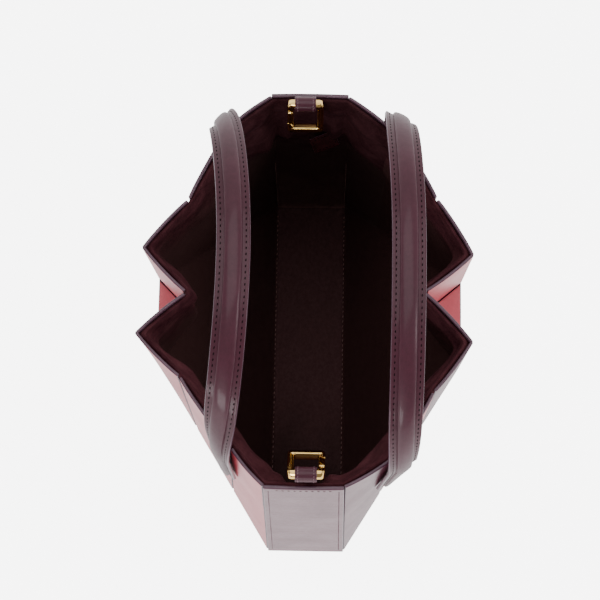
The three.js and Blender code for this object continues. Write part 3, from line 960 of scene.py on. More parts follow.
@dataclass
class PanelSet:
    """The leather panels of the four quarters and the two folded sides."""

    pattern: BagPattern
    wardrobe: Wardrobe
    thickness: float = 2.0
    crown: float = 0.45
    crown_reach: float = 9.0
    rim_crown: float = 0.7
    rim_reach: float = 8.0
    rim_fade: float = 45.0
    warp: float = 0.22
    warp_size: float = 34.0
    warp_reach: float = 6.0
    step: float = 4.5
    near_edge: Stops = (0.0, 0.22, 0.5, 0.9, 1.8, 3.4)
    tip_share: float = 0.06
    triangle_seams: Stops = (0.6, 1.2, 0.6, 0.2)
    lower_seams: Stops = (1.6, 0.8, 1.2, 0.8)
    plum_panels: tuple[str, ...] = ("panel_end_front_right", "panel_end_back_left",
                                    "panel_corner_front_right", "panel_corner_back_left")

    def cuts(self) -> list[PanelCut]:
        """List every panel of the bag.

        Returns:
            The cuts with their corners seen counter-clockwise from outside.
        """
        spans = {"panel_end": (("S", "s", "k1", "H1"), (0.8, 0.8, 0.6, 0.0)),
                 "panel_side": (("H1", "k1", "k2", "H2"), (0.6, 0.8, 1.0, 0.0)),
                 "panel_corner": (("H2", "k2", "C", "A"), (1.0, 0.8, 0.5, 0.0)),
                 "panel_fold": (("A", "C", "V", "F"), (0.5, 0.5, 0.5, 0.0))}
        found = []
        for end in End:
            for side in Side:
                for kind, (keys, seams) in spans.items():
                    name = f"{kind}_{end.label}_{side.label}"
                    if side.value * end.value > 0:
                        keys = keys[::-1]
                        seams = (seams[2], seams[1], seams[0], seams[3])
                    hide = Hide.PLUM if name in self.plum_panels else Hide.CORAL
                    corners = np.array([self.pattern.corner(k, side.value, end.value) for k in keys])
                    found.append(PanelCut(name, corners, seams, hide))
        return found + self.side_cuts()

    def side_cuts(self) -> list[PanelCut]:
        """List the fold triangles and lower panels.

        Returns:
            Their cuts; a triangle's tip is clipped to a short edge.
        """
        found = []
        for side in Side:
            sx = side.value
            front, back = (self.pattern.corner("C", sx, end.value) for end in End)
            near, far = (self.pattern.corner("s", sx, end.value) for end in End)
            apex = self.pattern.corner("V", sx, 1)
            tips = [apex + (corner - apex) * self.tip_share for corner in (front, back)]
            loop = [tips[0], front, back, tips[1]] if sx > 0 else [tips[1], back, front, tips[0]]
            name = f"fold_triangle_{side.label}"
            found.append(PanelCut(name, np.array(loop), self.triangle_seams, Hide.CORAL))
            loop = [near, far, back, front] if sx > 0 else [far, near, front, back]
            name = f"lower_panel_{side.label}"
            found.append(PanelCut(name, np.array(loop), self.lower_seams, Hide.PLUM))
        return found

    def make(self, cut: PanelCut) -> None:
        """Make one panel.

        Args:
            cut: The panel's cut.
        """
        a, b, c, d = cut.seamed_corners()
        width = max(np.linalg.norm(d - a), np.linalg.norm(c - b))
        length = max(np.linalg.norm(b - a), np.linalg.norm(c - d))
        us = edge_stops(width, self.near_edge, self.step)
        vs = edge_stops(length, self.near_edge, self.step)
        face = quad_grid((a, b, c, d), us, vs)
        normal = grid_normals(face)
        away = edge_distances(face)
        if cut.name.startswith("panel"):
            puff = self.rim_puff(face)
        else:
            puff = self.crown * (1.0 - np.exp(-away / self.crown_reach))
        soft = np.array([[ripple(p, self.warp_size) for p in row] for row in face])
        soft = soft * (1.0 - np.exp(-away / self.warp_reach))
        face = face + normal * (puff + self.warp * soft)[..., None]
        draft = LeatherSlab(face, normal, away, self.thickness).draft()
        materials = [self.wardrobe.hide(cut.hide), *self.wardrobe.get("edge")]
        piece = draft.build(f"leather_{cut.name}", materials)
        settle(piece, "bag", [cut.name])

    def rim_puff(self, face: Points) -> Points:
        """Tell how far a panel under the rim bulges out, most at the rim itself.

        Args:
            face: Grid of the panel's flat face, with the rim at the start of its second axis.

        Returns:
            Bulge in millimetres at each point.
        """
        steps = np.linalg.norm(np.diff(face, axis=0), axis=-1)
        along = np.concatenate([np.zeros((1, face.shape[1])), np.cumsum(steps, axis=0)])
        sides = np.minimum(along, along[-1:] - along)
        drop = self.pattern.rim_z - face[..., 2]
        low = np.linalg.norm(face - face[:, -1:], axis=-1)
        size = self.crown + self.rim_crown * np.exp(-drop / self.rim_fade)
        return size * (1.0 - np.exp(-np.minimum(sides, low) / self.rim_reach))

    def build(self) -> None:
        """Make every panel."""
        for cut in self.cuts():
            self.make(cut)


@dataclass(frozen=True)
class StitchSize:
    """Sizes of the stitches in a row."""

    length: float
    width: float
    height: float
    sink: float
    pitch: float = 3.5
    slant: float = 0.1


@dataclass
class StitchRow:
    """A row of sewn stitches along a line on a surface."""

    line: Points
    up: Points
    size: StitchSize
    shares: Stops = (0.0, 0.14, 0.5, 0.86, 1.0)
    girths: Stops = (0.35, 0.85, 1.0, 0.85, 0.35)
    lifts: Stops = (-0.9, 0.1, 0.5, 0.1, -0.9)
    sides: int = 6

    def add_to(self, draft: MeshDraft) -> None:
        """Add the stitches to a draft.

        Args:
            draft: Mesh that takes them.
        """
        steps = np.linalg.norm(np.diff(self.line, axis=0), axis=1)
        along = np.concatenate([[0.0], np.cumsum(steps)])
        pitch = self.size.pitch
        half = self.size.length / 2
        count = int(along[-1] // pitch)
        start = (along[-1] - count * pitch + pitch) / 2.0
        for k in range(count):
            middle = start + k * pitch
            tail = self.read(self.line, along, middle - half)
            tip = self.read(self.line, along, middle + half)
            self.add_stitch(draft, tail, tip, unit(self.read(self.up, along, middle)))

    @staticmethod
    def read(values: Points, along: Points, d: float) -> Points:
        """Return the value at a distance along the row."""
        return np.array([np.interp(d, along, values[:, i]) for i in range(3)])

    def add_stitch(self, draft: MeshDraft, tail: Points, tip: Points, up: Points) -> None:
        """Add one stitch.

        Args:
            draft: Mesh that takes it.
            tail: Start of the stitch on the surface.
            tip: Its end.
            up: Direction away from the surface.
        """
        size = self.size
        across = np.cross(unit(tip - tail), up)
        angles = np.arange(self.sides) * math.pi / (self.sides / 2.0)
        rings = []
        for share, girth, lift in zip(self.shares, self.girths, self.lifts):
            base = tail + (tip - tail) * share + across * size.slant * size.length * (share - 0.5)
            base = base + up * (size.height * lift * 0.5 - size.sink)
            wide = across * (size.width / 2 * girth)
            high = up * (size.height * girth)
            rings.append([base + wide * math.cos(a) + high * math.sin(a) for a in angles])
        first = draft.add_grid(np.array(rings), wrap=True, flip=True)
        last = first + self.sides * (len(rings) - 1)
        draft.add_face(range(first, first + self.sides))
        draft.add_face(range(last + self.sides - 1, last - 1, -1))


@dataclass
class BaseBand:
    """The strip that runs up the front end, under the base and up the back end."""

    pattern: BagPattern
    wardrobe: Wardrobe
    thickness: float = 2.4
    seam: float = 0.15
    turn_radius: float = 5.0
    near_rim: Stops = (0.0, 0.25, 0.6, 1.1, 2.2)
    wall_from: float = 4.0
    wall_steps: int = 46
    turn_steps: int = 7
    base_steps: int = 22
    grid_width: float = 50.0
    grid_step: float = 3.0
    near_edge: Stops = (0.0, 0.22, 0.5, 0.9, 1.8, 3.0)
    warp: float = 0.3
    warp_wave: Pair = (22.0, 3.0)
    warp_stretch: Triple = (0.5, 1.0, 1.0)
    warp_reach: float = 5.0
    warp_rise: float = 12.0
    stitch_in: float = 3.0
    rim_stitch_drop: float = 3.2
    stitch_above: float = 2.0
    stitch: StitchSize = StitchSize(length=1.9, width=0.55, height=0.26, sink=0.05)
    cut_width: float = 51.3

    def profile(self) -> list[tuple[float, float, float, float]]:
        """Trace the strip's outer line from the front rim to the back rim.

        Returns:
            Rows of y, z, half width and share down the wall (1 on the base).
        """
        rows = []
        rim_z = self.pattern.rim_z
        foot = np.array(self.pattern.base_corner)
        drops = [*self.near_rim, *np.linspace(self.wall_from, rim_z - self.turn_radius, self.wall_steps)]
        for end in End:
            rim = np.abs(self.pattern.corner("S", 1, end.value))
            wall = []
            for drop in drops:
                v = drop / rim_z
                y = rim[1] + (foot[1] - rim[1]) * v + self.pattern.band_proud
                half = rim[0] + (foot[0] - rim[0]) * v
                wall.append((y * end.value, rim_z - drop, half, v))
            edge = foot[1] + self.pattern.band_proud
            for angle in np.linspace(0.0, math.pi / 2, self.turn_steps)[1:]:
                y = edge - self.turn_radius * (1.0 - math.cos(angle))
                z = self.turn_radius * (1.0 - math.sin(angle))
                wall.append((y * end.value, z, foot[0], 1.0))
            inner = edge - self.turn_radius
            for share in np.linspace(0.0, 1.0, self.base_steps)[1:]:
                wall.append((inner * (1.0 - share) * end.value, 0.0, foot[0], 1.0))
            rows.append(wall)
        return rows[0] + rows[1][-2::-1]

    def surface(self) -> Points:
        """Lay out the strip's outer face.

        Returns:
            Grid of points, across the strip along the first axis.
        """
        profile = self.profile()
        grid = []
        for u in edge_stops(self.grid_width, self.near_edge, self.grid_step):
            line = []
            for y, z, half, v in profile:
                out = math.copysign(self.pattern.bow(u, v), y)
                line.append(((half - self.seam) * (2.0 * u - 1.0), y + out, z))
            grid.append(line)
        return np.array(grid)

    def build(self) -> None:
        """Make the strip and its stitches."""
        face = self.surface()
        normal = grid_normals(face)
        away = edge_distances(face)
        drawn = face * np.array(self.warp_stretch)
        soft = np.array([[ripple(p, *self.warp_wave) for p in row] for row in drawn])
        rise = np.clip(face[..., 2] / self.warp_rise, 0.0, 1.0)
        fade = (1.0 - np.exp(-away / self.warp_reach)) * rise
        dressed = face + normal * (soft * fade * self.warp)[..., None]
        draft = LeatherSlab(dressed, normal, away, self.thickness).draft()
        piece = draft.build("base_band_strip", self.wardrobe.get("strip", "edge"))
        settle(piece, "bag", ["band"])
        stitches = self.add_stitches(face, normal)

    def add_stitches(self, face: Points, normal: Points) -> Piece:
        """Sew the strip along both edges of each end wall and under each rim.

        Args:
            face: Grid of the strip's outer face.
            normal: Its normals.

        Returns:
            The stitches as a piece.
        """
        draft = MeshDraft()
        across = np.linalg.norm(np.diff(face[:, 0], axis=0), axis=1)
        place = np.concatenate([[0.0], np.cumsum(across)])
        high = face[0, :, 2] > self.turn_radius + self.stitch_above
        for end in End:
            walls = np.flatnonzero(high & (np.sign(face[0, :, 1]) == end.value))
            drops = self.pattern.rim_z - face[0, walls, 2]
            runs = walls[drops > self.rim_stitch_drop]
            for inset in (self.stitch_in, place[-1] - self.stitch_in):
                line = self.across_at(face[:, runs], place, inset)
                up = self.across_at(normal[:, runs], place, inset)
                StitchRow(line, up, self.stitch).add_to(draft)
            column = int(np.interp(self.rim_stitch_drop, np.sort(drops), np.arange(len(drops))))
            row = walls[np.argsort(drops)[column + 1]]
            inside = (place > self.stitch_in) & (place < place[-1] - self.stitch_in)
            StitchRow(face[inside, row], normal[inside, row], self.stitch).add_to(draft)
        piece = draft.build("base_band_stitches", self.wardrobe.get("band_thread"))
        return settle(piece, "bag")

    @staticmethod
    def across_at(grid: Points, place: Points, inset: float) -> Points:
        """Read a line of the grid at a distance from its first edge.

        Args:
            grid: Values, across the strip along the first axis.
            place: Distance of each row from the first edge.
            inset: Distance wanted.

        Returns:
            Values along that line.
        """
        k = int(np.clip(np.searchsorted(place, inset), 1, len(place) - 1))
        share = (inset - place[k - 1]) / (place[k] - place[k - 1])
        return grid[k - 1] * (1.0 - share) + grid[k] * share


@dataclass
class LiningFace:
    """One face of the lining: its corners in order and how it is divided."""

    refs: list[Reference]
    us: Points
    vs: Points
    bow: int = 0
    strip: bool = False
    rim: bool = False
    loose: bool = False


@dataclass
class Lining:
    """The suede lining: a soft skin behind the leather, with a puffed facing under the rim.

    Each wave is given by its size and its seed.
    """

    pattern: BagPattern
    wardrobe: Wardrobe
    depth: float = 3.9
    rim_drop: float = 1.2
    facing: float = 18.0
    facing_drift: float = 0.4
    facing_wave: Pair = (30.0, 5.0)
    puff: float = 2.6
    least_puff: float = 1.0
    puff_drift: float = 2.0
    puff_wave: Pair = (24.0, 7.0)
    puff_shape: Triple = (0.75, 0.8, 0.2)
    front_puff: float = 5.2
    front_turn: float = 1.6
    sag: float = 0.9
    sag_wave: Pair = (42.0, 9.0)
    sag_in: float = 2.0
    sag_from: float = 26.0
    fold_depth: float = 1.6
    fold_wave: Pair = (24.0, 2.0)
    fold_stretch: Triple = (1.0, 1.0, 3.0)
    crease_depth: float = 0.25
    crease_wave: Pair = (8.0, 2.0)
    crease_in: float = 5.0
    crease_out: float = 2.6
    back_puff: float = 8.0
    back_turn: float = -2.0
    back_from: float = 0.3
    back_facing: float = 52.0
    back_drift: float = 0.18
    back_wave: Pair = (26.0, 11.0)
    back_close: float = 10.0
    lumps: float = 0.6
    lump_wave: Pair = (20.0, 13.0)
    corner_crease: float = 0.75
    corner_x: float = 25.0
    corner_width: float = 5.0
    tab_clear: float = 9.0
    tab_from: float = 100.0
    middle_z: float = 120.0
    strip_middle_z: float = 110.0
    least_middle_z: float = 60.0
    weld: float = 200.0
    soften_rounds: int = 4
    soften_share: float = 0.45
    strip_width: float = 50.0
    strip_step: float = 2.6
    strip_near: Stops = (0.0, 0.5, 0.9, 1.4, 2.4)
    strip_edge: float = 0.009
    strip_rise: float = 0.7
    floor_steps: int = 60
    stitch_x: float = 23.8
    stitch_lift: float = 0.15
    stitch_turn: float = 7.0
    stitch_foot: float = 4.0
    wall_stitches: float = 106.0
    stitch: StitchSize = StitchSize(length=2.0, width=0.62, height=0.42, sink=-0.25)
    sharp: float = 80.0
    cut_width: float = 420.0
    cut_waste: float = 1.15
    # Materials by face kind. The last three carry painted shade and painted light: on the base strip's front
    # end, the back-end facing and wall, and the back-wall strip.
    finishes: tuple[str, ...] = ("suede", "base_suede", "back_suede", "end_suede")
    rolled: tuple[Pair, ...] = ((1.0, 4.5), (1.0, 1.3), (1.7, 0.6), (2.2, 0.1), (2.8, -0.3), (3.5, -0.3))

    def faces(self) -> list[LiningFace]:
        """List the faces of the whole skin.

        Returns:
            Faces with matching divisions on the edges that they share.
        """
        top = np.concatenate([np.linspace(0.0, 0.1, 20), np.linspace(0.1, 0.4, 21)[1:],
                              np.linspace(0.4, 1.0, 20)[1:]])
        across = {"end": 12, "side": 16, "corner": 13, "fold": 13}
        share = {key: np.linspace(0.0, 1.0, n + 1) for key, n in across.items()}
        spans = (("end", ("S", "s", "k1", "H1")), ("side", ("H1", "k1", "k2", "H2")),
                 ("corner", ("H2", "k2", "C", "A")), ("fold", ("A", "C", "V", "F")))
        strip = edge_stops(self.strip_width, self.strip_near, self.strip_step)
        floor = np.linspace(0.0, 1.0, self.floor_steps + 1)
        found = []
        for end in End:
            for side in Side:
                sx, sy = side.value, end.value
                for key, loop in spans:
                    refs = [(k, sx, sy) for k in loop]
                    loose = end is End.BACK and key == "end"
                    found.append(LiningFace(refs, share[key], top, rim=True, loose=loose))
            refs = [("S", -1, end.value), ("s", -1, end.value), ("s", 1, end.value), ("S", 1, end.value)]
            found.append(LiningFace(refs, strip, top, bow=end.value, strip=True, rim=True,
                                    loose=end is End.BACK))
        for side in Side:
            sx = side.value
            for low, high, key in (("s", "k1", "end"), ("k1", "k2", "side"), ("k2", "C", "corner")):
                refs = [(low, sx, -1), (high, sx, -1), (high, sx, 1), (low, sx, 1)]
                found.append(LiningFace(refs, floor, share[key]))
            refs = [("V", sx, -1), ("C", sx, -1), ("C", sx, 1), ("V", sx, 1)]
            found.append(LiningFace(refs, floor, 1.0 - share["fold"][::-1]))
        refs = [("s", -1, -1), ("s", -1, 1), ("s", 1, 1), ("s", 1, -1)]
        found.append(LiningFace(refs, strip, floor, strip=True))
        return found

    def steps_in(self, faces: Sequence[LiningFace]) -> dict[str, Points]:
        """Find the step that moves each corner one millimetre behind all its faces.

        Args:
            faces: Faces of the skin.

        Returns:
            Step by corner label.
        """
        gathered: dict[str, list[Points]] = {}
        centre = np.array([0.0, 0.0, self.middle_z])
        for face in faces:
            at = [self.pattern.corner(*ref) for ref in face.refs]
            for i, ref in enumerate(face.refs):
                following = self.first_apart(at[i], at[(i + 1) % 4], at[(i + 2) % 4])
                before = self.first_apart(at[i], at[i - 1], at[i - 2])
                normal = unit(np.cross(following - at[i], before - at[i]))
                if np.dot(normal, np.mean(at, axis=0) - centre) < 0:
                    normal = -normal
                gathered.setdefault(self.label(ref), []).append(normal)
        steps = {}
        for label, normals in gathered.items():
            rows = np.array(normals)
            if label[:2] in ("S ", "H1", "H2", "A ", "F "):
                rows[:, 2] = 0.0
                rows = unit(rows)
            square = rows.T @ rows + np.eye(3) * 1e-6
            steps[label] = np.linalg.solve(square, -rows.sum(axis=0))
        return steps

    @staticmethod
    def first_apart(p: Points, near: Points, far: Points) -> Points:
        """Return the nearer corner, or the further one where the nearer is the same place."""
        return far if np.allclose(near, p) else near

    @staticmethod
    def label(ref: Reference) -> str:
        """Return the name of a corner that all its faces share."""
        key, sx, sy = ref
        return f"{key:<2}{sx}{0 if key in ('F', 'V') else sy}"

    def depth_at(self, p: Points, pull: Points, rim_share: float) -> float:
        """Tell how far behind the leather the suede lies.

        Args:
            p: Place on the skin.
            pull: Its step inwards; the facing sags more where that leads to the back of the bag.
            rim_share: 1 on a face that reaches the rim, 0 elsewhere.

        Returns:
            Depth in millimetres.
        """
        below = self.pattern.rim_z - p[2]
        by_tab = 1.0
        if abs(p[1]) > self.tab_from:
            by_tab = smooth_step((abs(p[0]) - self.tab_clear) / self.tab_clear)
        share = below / self.facing_at(p)
        front = smooth_step(self.front_turn * unit(pull)[1])
        drift = (1.0 + front) * self.puff_drift * ripple(p, *self.puff_wave)
        size = max(self.puff + drift, self.least_puff) + self.front_puff * front
        full, held, closed = self.puff_shape
        swell = size * (smooth_step(share / full) - smooth_step((share - held) / closed))
        sag = self.sag * ripple(p, *self.sag_wave) * smooth_step((share - 1.0) / self.sag_in)
        sag = sag * smooth_step((abs(p[0]) - self.sag_from) / self.tab_clear)
        folds = self.fold_depth * ripple(p * np.array(self.fold_stretch), *self.fold_wave)
        folds = folds + self.crease_depth * ripple(p, *self.crease_wave)
        creased = folds * smooth_step(below / self.crease_in) * smooth_step(self.crease_out - share)
        loose = self.loose_at(p, below, pull)
        return self.depth + by_tab * (rim_share * (swell + creased + loose) + sag)

    def loose_at(self, p: Points, below: float, pull: Points) -> float:
        """Tell how far the loose facing of the back corners bags out.

        Args:
            p: Place on the skin.
            below: Its drop below the rim.
            pull: Its step inwards, which leads to the front at the back of the bag.

        Returns:
            Depth in millimetres to add.
        """
        level = np.array([p[0], p[1], 0.0])
        back = smooth_step(self.back_turn * (unit(pull)[1] + self.back_from))
        low = self.back_facing * (1.0 + self.back_drift * ripple(level, *self.back_wave))
        crease = self.corner_crease * math.exp(-((abs(p[0]) - self.corner_x) / self.corner_width) ** 2)
        lumps = (1.0 + self.lumps * ripple(p, *self.lump_wave)) * (1.0 - crease)
        swell = smooth_step(below / low) - smooth_step((below - low) / self.back_close)
        return self.back_puff * back * lumps * swell

    def facing_at(self, p: Points) -> float:
        """Return the height of the facing at a place on the rim's walls."""
        level = np.array([p[0], p[1], 0.0])
        return self.facing * (1.0 + self.facing_drift * ripple(level, *self.facing_wave))

    def weld_key(self, p: Points) -> tuple[int, ...]:
        """Return the key that places share when they weld into one point."""
        return tuple(np.round(p * self.weld).astype(int))

    def build(self) -> None:
        """Make the lining and the stitches of its base strip."""
        faces = self.faces()
        steps = self.steps_in(faces)
        ids: dict[tuple[int, ...], int] = {}
        points: list[Points] = []
        loops: list[tuple[int, ...]] = []
        kinds: list[int] = []
        raised: set[int] = set()
        plain: set[int] = set()
        deep: set[int] = set()
        for face in faces:
            corners = [self.pattern.corner(*ref) for ref in face.refs]
            pulls = [steps[self.label(ref)] for ref in face.refs]
            skin = quad_grid(corners, face.us, face.vs)
            pull = quad_grid(pulls, face.us, face.vs)
            columns = []
            for i, u in enumerate(face.us):
                column = []
                for j, v in enumerate(face.vs):
                    base = skin[i, j].copy()
                    base[1] += face.bow * self.pattern.bow(u, v)
                    key = self.weld_key(base)
                    if key not in ids:
                        ids[key] = len(points)
                        lift = self.rim_drop * max(0.0, 1.0 - v) if face.rim else 0.0
                        depth = self.depth_at(base, pull[i, j], 1.0 if face.rim else 0.0)
                        points.append(base + pull[i, j] * depth - np.array([0.0, 0.0, lift]))
                        if base[2] < self.wall_stitches:
                            deep.add(ids[key])
                    column.append(ids[key])
                    on_edge = min(u, 1.0 - u) < self.strip_edge
                    if face.strip and not on_edge and base[2] < self.wall_stitches:
                        raised.add(ids[key])
                    elif face.strip:
                        plain.add(ids[key])
                if face.rim:
                    bow = face.bow * self.pattern.bow(u, 0.0)
                    column = self.roll_rows(skin[i, 0], pull[i, 0], bow, ids, points) + column
                columns.append(column)
            for left, right in zip(columns, columns[1:]):
                for a, b, c, d in zip(left, left[1:], right[1:], right):
                    loop = tuple(dict.fromkeys((a, b, c, d)))
                    if len(loop) > 2:
                        loops.append(loop)
                        # Kind 0 is plain suede. Kind 1 is the base strip, with painted shade at its front
                        # end. Kind 2 is the back-end faces, with painted shade on the facing and painted
                        # light below it. Kind 3 is the back-wall strip, with painted light.
                        on_strip = face.strip and deep.issuperset(loop)
                        kinds.append(int(on_strip) + 2 * int(face.loose))
        placed = self.soften(np.array(points), loops)
        placed = self.raise_strip(placed, loops, raised - plain)
        draft = MeshDraft([placed], self.turned_in(placed, loops), kinds, len(placed))
        piece = draft.build("suede_lining", self.wardrobe.get(*self.finishes), sharp=self.sharp)
        settle(piece, "bag", ["lining"])
        stitches = self.add_stitches()

    def roll_rows(self, skin: Points, pull: Points, bow: float, ids: dict[tuple[int, ...], int],
                  points: list[Points]) -> list[int]:
        """Add the turned edge above one point of the rim.

        Args:
            skin: The rim point.
            pull: Its step inwards.
            bow: How far the end wall bows out there.
            ids: Point numbers by place, which grows.
            points: Points so far, which grow.

        Returns:
            Point numbers from the leather inwards.
        """
        column = []
        for k, (depth, rise) in enumerate(self.rolled):
            base = skin + np.array([0.0, bow, 0.0])
            key = (*self.weld_key(base), k + 1)
            if key not in ids:
                ids[key] = len(points)
                points.append(base + pull * depth + np.array([0.0, 0.0, -self.rim_drop - rise]))
            column.append(ids[key])
        return column

    def soften(self, points: Points, loops: Loops) -> Points:
        """Round the creases by moving each point towards its neighbours.

        Args:
            points: Places of the points.
            loops: Faces as point numbers.

        Returns:
            The new places; points on the open edge stay.
        """
        ends: dict[tuple[int, int], int] = {}
        for loop in loops:
            for a, b in zip(loop, loop[1:] + loop[:1]):
                key = (min(a, b), max(a, b))
                ends[key] = ends.get(key, 0) + 1
        pairs = np.array(list(ends))
        fixed = np.unique(pairs[np.array(list(ends.values())) == 1])
        placed = points.copy()
        for _ in range(self.soften_rounds):
            total = np.zeros_like(placed)
            number = np.zeros(len(placed))
            for a, b in ((0, 1), (1, 0)):
                np.add.at(total, pairs[:, a], placed[pairs[:, b]])
                np.add.at(number, pairs[:, a], 1.0)
            mean = total / np.maximum(number, 1.0)[:, None]
            moved = placed + self.soften_share * (mean - placed)
            moved[fixed] = points[fixed]
            placed = moved
        return placed

    def raise_strip(self, points: Points, loops: Loops, raised: set[int]) -> Points:
        """Lift the inner strip off the lining by its own thickness.

        Args:
            points: Places of the points.
            loops: Faces as point numbers.
            raised: Points of the strip.

        Returns:
            The new places.
        """
        normals = np.zeros_like(points)
        centre = np.array([0.0, 0.0, self.strip_middle_z])
        for loop in loops:
            a, b, c = points[list(loop[:3])]
            normal = np.cross(b - a, c - a)
            inwards = centre - (a + b + c) / 3.0
            normal = normal if np.dot(normal, inwards) > 0 else -normal
            for i in loop:
                normals[i] += normal
        moved = points.copy()
        chosen = np.array(sorted(raised))
        moved[chosen] += unit(normals[chosen]) * self.strip_rise
        return moved

    def turned_in(self, points: Points, loops: Loops) -> list[tuple[int, ...]]:
        """Turn every face so that it looks into the bag.

        Args:
            points: Places of the points.
            loops: Faces as point numbers.

        Returns:
            The turned faces.
        """
        turned = []
        for loop in loops:
            a, b, c = points[list(loop[:3])]
            middle = points[list(loop)].mean(axis=0)
            inwards = np.array([0.0, 0.0, max(middle[2], self.least_middle_z)]) - middle
            normal = np.cross(b - a, c - a)
            turned.append(loop if np.dot(normal, inwards) > 0 else loop[::-1])
        return turned

    def add_stitches(self) -> Piece:
        """Sew both edges of the base strip.

        Returns:
            The stitches as a piece.
        """
        draft = MeshDraft()
        reach = self.pattern.base_corner[1] - self.stitch_turn
        lift = self.depth + self.strip_rise + self.stitch_lift
        floor = self.pattern.base_corner[2] + lift
        for side in Side:
            x = side.value * self.stitch_x
            line = np.array([(x, y, floor) for y in np.linspace(-reach, reach, 60)])
            up = np.tile(np.array([0.0, 0.0, 1.0]), (len(line), 1))
            StitchRow(line, up, self.stitch).add_to(draft)
            for end in End:
                heights = np.linspace(floor + self.stitch_foot, self.wall_stitches, 40)
                walls = [self.pattern.end_wall(end, x, z) - lift for z in heights]
                line = np.array([(x, end.value * y, z) for y, z in zip(walls, heights)])
                up = np.tile(np.array([0.0, -float(end.value), 0.0]), (len(line), 1))
                StitchRow(line, up, self.stitch).add_to(draft)
        piece = draft.build("base_strip_stitches", self.wardrobe.get("brown_thread"))
        return settle(piece, "bag")


@dataclass(frozen=True)
class StrapFoot:
    """Where a foot of a strap sits: its place along the rim, its distance off it and its shifts across."""

    along: float
    stand: float
    rim_shift: float = 0.0
    tip_shift: float = 0.0


